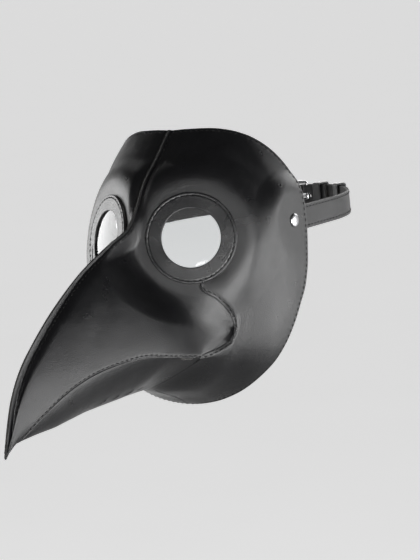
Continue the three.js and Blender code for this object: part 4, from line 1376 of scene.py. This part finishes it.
def strap_stitching(name, place, spans, body):
    """Two rows of stitches along the edges of a strap, on its outer face."""
    runs = []
    for start, end in spans:
        for side in (-1, 1):
            line = straight_line(start, end, side * (STRAP_WIDTH / 2 - STITCH_INSET))
            runs.append(place(line, np.full(len(line), STRAP_THICKNESS / 2 - 0.14)))
    stitching(name, runs, body)


def straps():
    rows = [side * (STRAP_WIDTH / 2 - STITCH_INSET) for side in (-1, 1)]
    half = STRAP_WIDTH / 2
    line, bar_at = left_strap_line()
    total = lengths_of(line)[-1]
    long_side = straight_line(half, total, -half)
    end_side = resampled(np.array([[total, -half], [total, half]]), 1.0)
    outline = np.concatenate([
        long_side[:-1], end_side[:-1], (long_side * [1, -1])[::-1][:-1], half_round(half, -1)[:-1]])
    rivet = rivet_hole(np.array([half, 0.0]))
    fold = math.pi * bar_gap
    slot = oblong(bar_at - 2 * bar_gap, bar_at + fold + 2 * bar_gap, SLOT_WIDTH)
    place = strap_band("left_strap_leather", line, outline, [rivet, resampled_loop(slot)], rows,
                       "left_strap", "left_strap")
    strap_stitching("left_strap_stitching", place, [(half + 4, bar_at - TAIL_LENGTH - 3)], "left_strap")

    line, bar_at = right_strap_line()
    total = lengths_of(line)[-1]
    side = straight_line(2 * half, total - half, -half)
    turn = np.linspace(0, 1, 16)[:, None]
    tip, shoulder, flank = np.array([0.3, 0]), np.array([0.3, half * 0.95]), np.array([2 * half, half])
    taper = (1 - turn) ** 2 * tip + 2 * turn * (1 - turn) * shoulder + turn ** 2 * flank
    outline = np.concatenate([
        side[:-1], half_round(total - half, 1)[:-1], (side * [1, -1])[::-1][:-1],
        taper[::-1][:-1], (taper * [1, -1])[:-1]])
    outline = outline[np.append(True, np.linalg.norm(np.diff(outline, axis=0), axis=1) > 1e-6)]
    middle = bar_at + (HOLE_AFTER - HOLE_BEFORE) / 2
    length = HOLE_BEFORE + HOLE_AFTER
    holes = [rivet_hole(np.array([total - half, 0.0]))]
    for k in HOLE_PLACES:
        centre = middle + k * HOLE_PITCH
        holes.append(resampled_loop(oblong(centre - length / 2, centre + length / 2, HOLE_WIDTH)))
    place = strap_band("right_strap_leather", line, outline, holes, rows, "right_strap", "right_strap")
    strap_stitching("right_strap_stitching", place, [(2 * half + 2, total - half - 4)], "right_strap")


def resampled_loop(loop):
    return resampled(np.concatenate([loop, loop[:1]]), 0.6)[:-1]


# ---------------------------------------------------------------- buckle and keepers

def onto_arc(points, distance, radius):
    """From along, outward and downward lengths to a place on the arc."""
    angle = BUCKLE_ANGLE + distance / arc_radius
    along = np.array([-math.sin(angle), math.cos(angle), 0])
    away = np.array([math.cos(angle), math.sin(angle), 0])
    spot = np.array([*on_arc(distance, radius), strap_level])
    return spot + points @ np.stack([along, away, [0, 0, -1.0]])


def onto_buckle(points):
    """From along, outward and downward lengths, with the heel bar at the start, to the buckle."""
    heel, end = on_arc(0, bar_radial), on_arc(FRAME_LENGTH, bar_radial)
    run = unit(end - heel)
    spot = np.array([*heel, strap_level])
    return spot + points @ np.array([[run[0], run[1], 0], [run[1], -run[0], 0], [0, 0, -1.0]])


def swept(path, sizes, closed, power=2.0, sides=24, across=(0, 1.0, 0)):
    """Rings of a superellipse section along a path. across is the direction of the section's height."""
    run = unit(np.roll(path, -1, 0) - np.roll(path, 1, 0) if closed else np.gradient(path, axis=0))
    side = unit(np.cross(np.tile(np.array(across, float), (len(path), 1)), run))
    up = np.cross(run, side)
    spoke = spokes(np.linspace(0, 2 * math.pi, sides, endpoint=False))
    wide, high = (np.sign(spoke) * abs(spoke) ** (2 / power)).T
    sizes = np.broadcast_to(np.array(sizes, float), (len(path), 2))
    return (path[:, None] + side[:, None] * (wide[None, :, None] * sizes[:, None, 0:1])
            + up[:, None] * (high[None, :, None] * sizes[:, None, 1:2]))


def ring_object(name, rings, closed, material, **options):
    rows, columns = rings.shape[:2]
    points = rings.reshape(-1, 3)
    faces = grid_faces(rows, columns, closed_rows=closed)
    if not closed:
        faces += [tuple(range(columns)), tuple((rows - 1) * columns + k for k in range(columns - 1, -1, -1))]
    return make_object(name, points, oriented(points, faces), [material], **options)


PRONG_STRIP = (1.55, 0.4)  # half width and half thickness of the prong where it wraps the bar
KEEPER_STITCH_INSET = 1.6


def buckle():
    half = STRAP_WIDTH / 2 + 1 + BAR_RADIUS
    corners = [[0, -half], [FRAME_LENGTH, -half], [FRAME_LENGTH, half], [0, half]]
    outline = resampled_loop(rounded_profile(corners, 2.2, 8))
    path = np.column_stack([outline[:, 0], np.zeros(len(outline)), outline[:, 1]])
    rings = swept(path, (BAR_RADIUS * 0.99, BAR_RADIUS * 0.99), True, power=2.3)
    ring_object("buckle_frame_wire", onto_buckle(rings), True, BUCKLE_STEEL, body="buckle_frame",
                slot="buckle_steel", replaces=["buckle_frame"])

    eye = BAR_RADIUS + FIT + 0.42
    turn = np.linspace(math.radians(-262), math.radians(62), 60)
    wrap = np.column_stack([eye * spokes(turn), np.zeros_like(turn)])
    rest = BAR_RADIUS + FIT + PRONG_RADIUS * 0.95
    tip = np.array([FRAME_LENGTH + BAR_RADIUS * 0.9, rest, 0])
    along = np.linspace(0, 1, 50)[1:, None]
    start = wrap[-1]
    knee = np.array([start[0] + 2.2, rest + 0.35, 0])
    tongue = (1 - along) ** 2 * start + 2 * along * (1 - along) * knee + along ** 2 * tip
    path = np.concatenate([wrap, tongue])
    grown = smoothstep(np.arange(len(path)), 48, 68)
    wide = PRONG_STRIP[0] + (PRONG_RADIUS - PRONG_STRIP[0]) * grown
    thick = PRONG_STRIP[1] + (PRONG_RADIUS * 0.85 - PRONG_STRIP[1]) * grown
    narrow = 1 - 0.45 * smoothstep(np.arange(len(path)), len(path) - 30, len(path) - 1)
    sizes = np.stack([thick * narrow, wide * narrow], -1)
    rings = swept(path, sizes, False, power=2.4, across=(0, 0, 1.0))
    ring_object("buckle_prong_wire", onto_buckle(rings), False, BUCKLE_STEEL, body="buckle_prong",
                slot="buckle_steel", replaces=["buckle_prong"])


def keeper(name, distance, layers_in, layers_out, node, body):
    """A leather loop round the strap, with rounded edges."""
    low = -STRAP_THICKNESS / 2 - layers_in * overlap - 2 * FIT - KEEPER_WALL / 2
    high = STRAP_THICKNESS / 2 + layers_out * overlap + 2 * FIT + KEEPER_WALL / 2
    half = STRAP_WIDTH / 2 + FIT + KEEPER_WALL / 2
    corners = [[low, -half], [high, -half], [high, half], [low, half]]
    outline = resampled_loop(rounded_profile(corners, 1.2, 8))
    path = np.column_stack([np.zeros(len(outline)), outline])
    rings = swept(path, (KEEPER_WALL / 2 * 0.98, KEEPER_WIDTH / 2), True, power=7, sides=48,
                  across=(1.0, 0, 0))
    ring_object(name, onto_arc(rings, -distance, arc_radius), True, STRAP[0], body=body,
                slot="strap_leather", replaces=[node])
    outer = np.array(sorted((p for p in outline if p[0] > high - 0.3), key=lambda p: p[1]))
    runs = []
    for side in (-1, 1):
        line = np.column_stack([
            np.full(len(outer), side * (KEEPER_WIDTH / 2 - KEEPER_STITCH_INSET)),
            outer[:, 0] + KEEPER_WALL / 2 - 0.02, outer[:, 1] * 0.86])
        placed = onto_arc(line, -distance, arc_radius)
        away = onto_arc(line + [0, 1.0, 0], -distance, arc_radius) - placed
        runs.append((placed, away))
    stitching(name + "_stitching", runs, body)


# ---------------------------------------------------------------- camera, lights and stage

def place_camera():
    """The camera stands in front, round to the mask's left, a little above it and slightly rolled."""
    azimuth, elevation, roll = math.radians(36), math.radians(8), math.radians(-6.02)
    distance, across, above = 1.7, -0.04417, 0.03003
    back = Vector((math.sin(azimuth) * math.cos(elevation), -math.cos(azimuth) * math.cos(elevation),
                   math.sin(elevation)))
    level = Vector((math.cos(azimuth), math.sin(azimuth), 0))
    upright = back.cross(level)
    right = math.cos(roll) * level + math.sin(roll) * upright
    up = -math.sin(roll) * level + math.cos(roll) * upright
    data = bpy.data.cameras.new("camera")
    data.lens = 149.65
    data.sensor_width = 36
    data.sensor_fit = "AUTO"
    data.clip_end = 2000
    made = bpy.data.objects.new("camera", data)
    bpy.context.scene.collection.objects.link(made)
    turn = Matrix((right, up, back)).transposed()
    made.matrix_world = Matrix.Translation(back * distance - right * across - up * above) @ turn.to_4x4()
    bpy.context.scene.camera = made
    bpy.context.scene.view_settings.view_transform = "Standard"


def area_light(name, place, target, size, power, height):
    data = bpy.data.lights.new(name, "AREA")
    data.shape = "RECTANGLE"
    data.size = size
    data.size_y = height
    data.energy = power
    made = bpy.data.objects.new(name, data)
    made.visible_camera = False
    made.visible_transmission = False
    bpy.context.scene.collection.objects.link(made)
    made.location = place
    made.rotation_euler = (target - place).to_track_quat("-Z", "Y").to_euler()


def lights():
    """Two large low softboxes to the camera's right, two weaker ones to its left and two behind."""
    target = Vector((0, -0.03, -0.03))
    for name, azimuth, elevation, distance, size, height, power in (
            ("front_softbox", 51.5, -5.5, 1.2, 1.09, 0.8, 26),
            ("side_softbox", 118, -12, 1.2, 1.05, 0.85, 13),
            ("far_side_softbox", -50, 12, 1.4, 0.6, 0.8, 1.5),
            ("right_side_softbox", -95, 2, 1.4, 0.8, 0.8, 8),
            ("rear_left_softbox", 172, 22, 1.5, 0.7, 0.8, 9),
            ("rear_right_softbox", 212, 22, 1.5, 0.7, 0.8, 9)):
        around, above = math.radians(azimuth), math.radians(elevation)
        away = Vector((math.sin(around) * math.cos(above), -math.cos(around) * math.cos(above),
                       math.sin(above)))
        area_light(name, target + away * distance, target, size, power, height)
    world = bpy.data.worlds.new("studio")
    world.use_nodes = True
    tree = world.node_tree
    place = tree.nodes.new("ShaderNodeTexCoord")
    parts = tree.nodes.new("ShaderNodeSeparateXYZ")
    tree.links.new(place.outputs["Generated"], parts.inputs["Vector"])
    sky = ramp(tree, parts.outputs["Z"], 0.6, 0.05, (0.12, 0.4))
    tree.links.new(sky, tree.nodes["Background"].inputs["Color"])
    bpy.context.scene.world = world


FLOOR_DROP = 0.8  # metres below the chin, since the mask is worn on a head


def backdrop():
    """A wide pale floor, well below the mask. It glows with painted light instead of being lit, and its
    colour and glow are painted darker below the mask as a soft shadow.
    """
    floor = cad_box[0][2] - FLOOR_DROP
    # The emission is painted light: the floor is bright without a lamp on it.
    paper, tree, shader = new_material("backdrop_paper", (0.86, 0.86, 0.86), 0.9, Emission_Strength=0.72)
    mottle = texture(tree, "ShaderNodeTexNoise", 3, Detail=3.0)
    # Painted shadow: colour and glow fall to a fifth within 1.3 m of the mask's origin and rise to full at
    # 2.4 m.
    reach = tree.nodes.new("ShaderNodeVectorMath")
    reach.operation = "LENGTH"
    tree.links.new(tree.nodes["place"].outputs["Object"], reach.inputs[0])
    far = tree.nodes.new("ShaderNodeMapRange")
    for socket, value in (("From Min", 1.3), ("From Max", 2.4), ("To Min", 0.2), ("To Max", 1.0)):
        far.inputs[socket].default_value = value
    tree.links.new(reach.outputs["Value"], far.inputs["Value"])
    # The painted shadow scales the colour that feeds both the base colour and the painted glow.
    tone = tree.nodes.new("ShaderNodeVectorMath")
    tone.operation = "SCALE"
    tree.links.new(ramp(tree, mottle.outputs["Fac"], 0.85, 0.87), tone.inputs[0])
    tree.links.new(far.outputs["Result"], tone.inputs["Scale"])
    tree.links.new(tone.outputs["Vector"], shader.inputs["Base Color"])
    tree.links.new(tone.outputs["Vector"], shader.inputs["Emission Color"])
    half = 300.0
    corners = [(-half, -half, floor), (half, -half, floor), (half, half, floor), (-half, half, floor)]
    mesh = bpy.data.meshes.new("backdrop")
    mesh.from_pydata(corners, [], [(0, 1, 2, 3)])
    mesh.materials.append(paper)
    sheet = bpy.data.objects.new("backdrop", mesh)
    bpy.context.scene.collection.objects.link(sheet)


place_camera()
lights()
backdrop()
face_stitching(face_panels())
dart_tape()
centre_tapes()
underside()
eye_rings()
lenses()
rivets()
straps()
buckle()
keeper("fixed_keeper_loop", FIXED_KEEPER_AT, 1, 1, "fixed_keeper", "left_strap")
keeper("sliding_keeper_loop", SLIDING_KEEPER_AT, 0, 1, "sliding_keeper", "sliding_keeper")
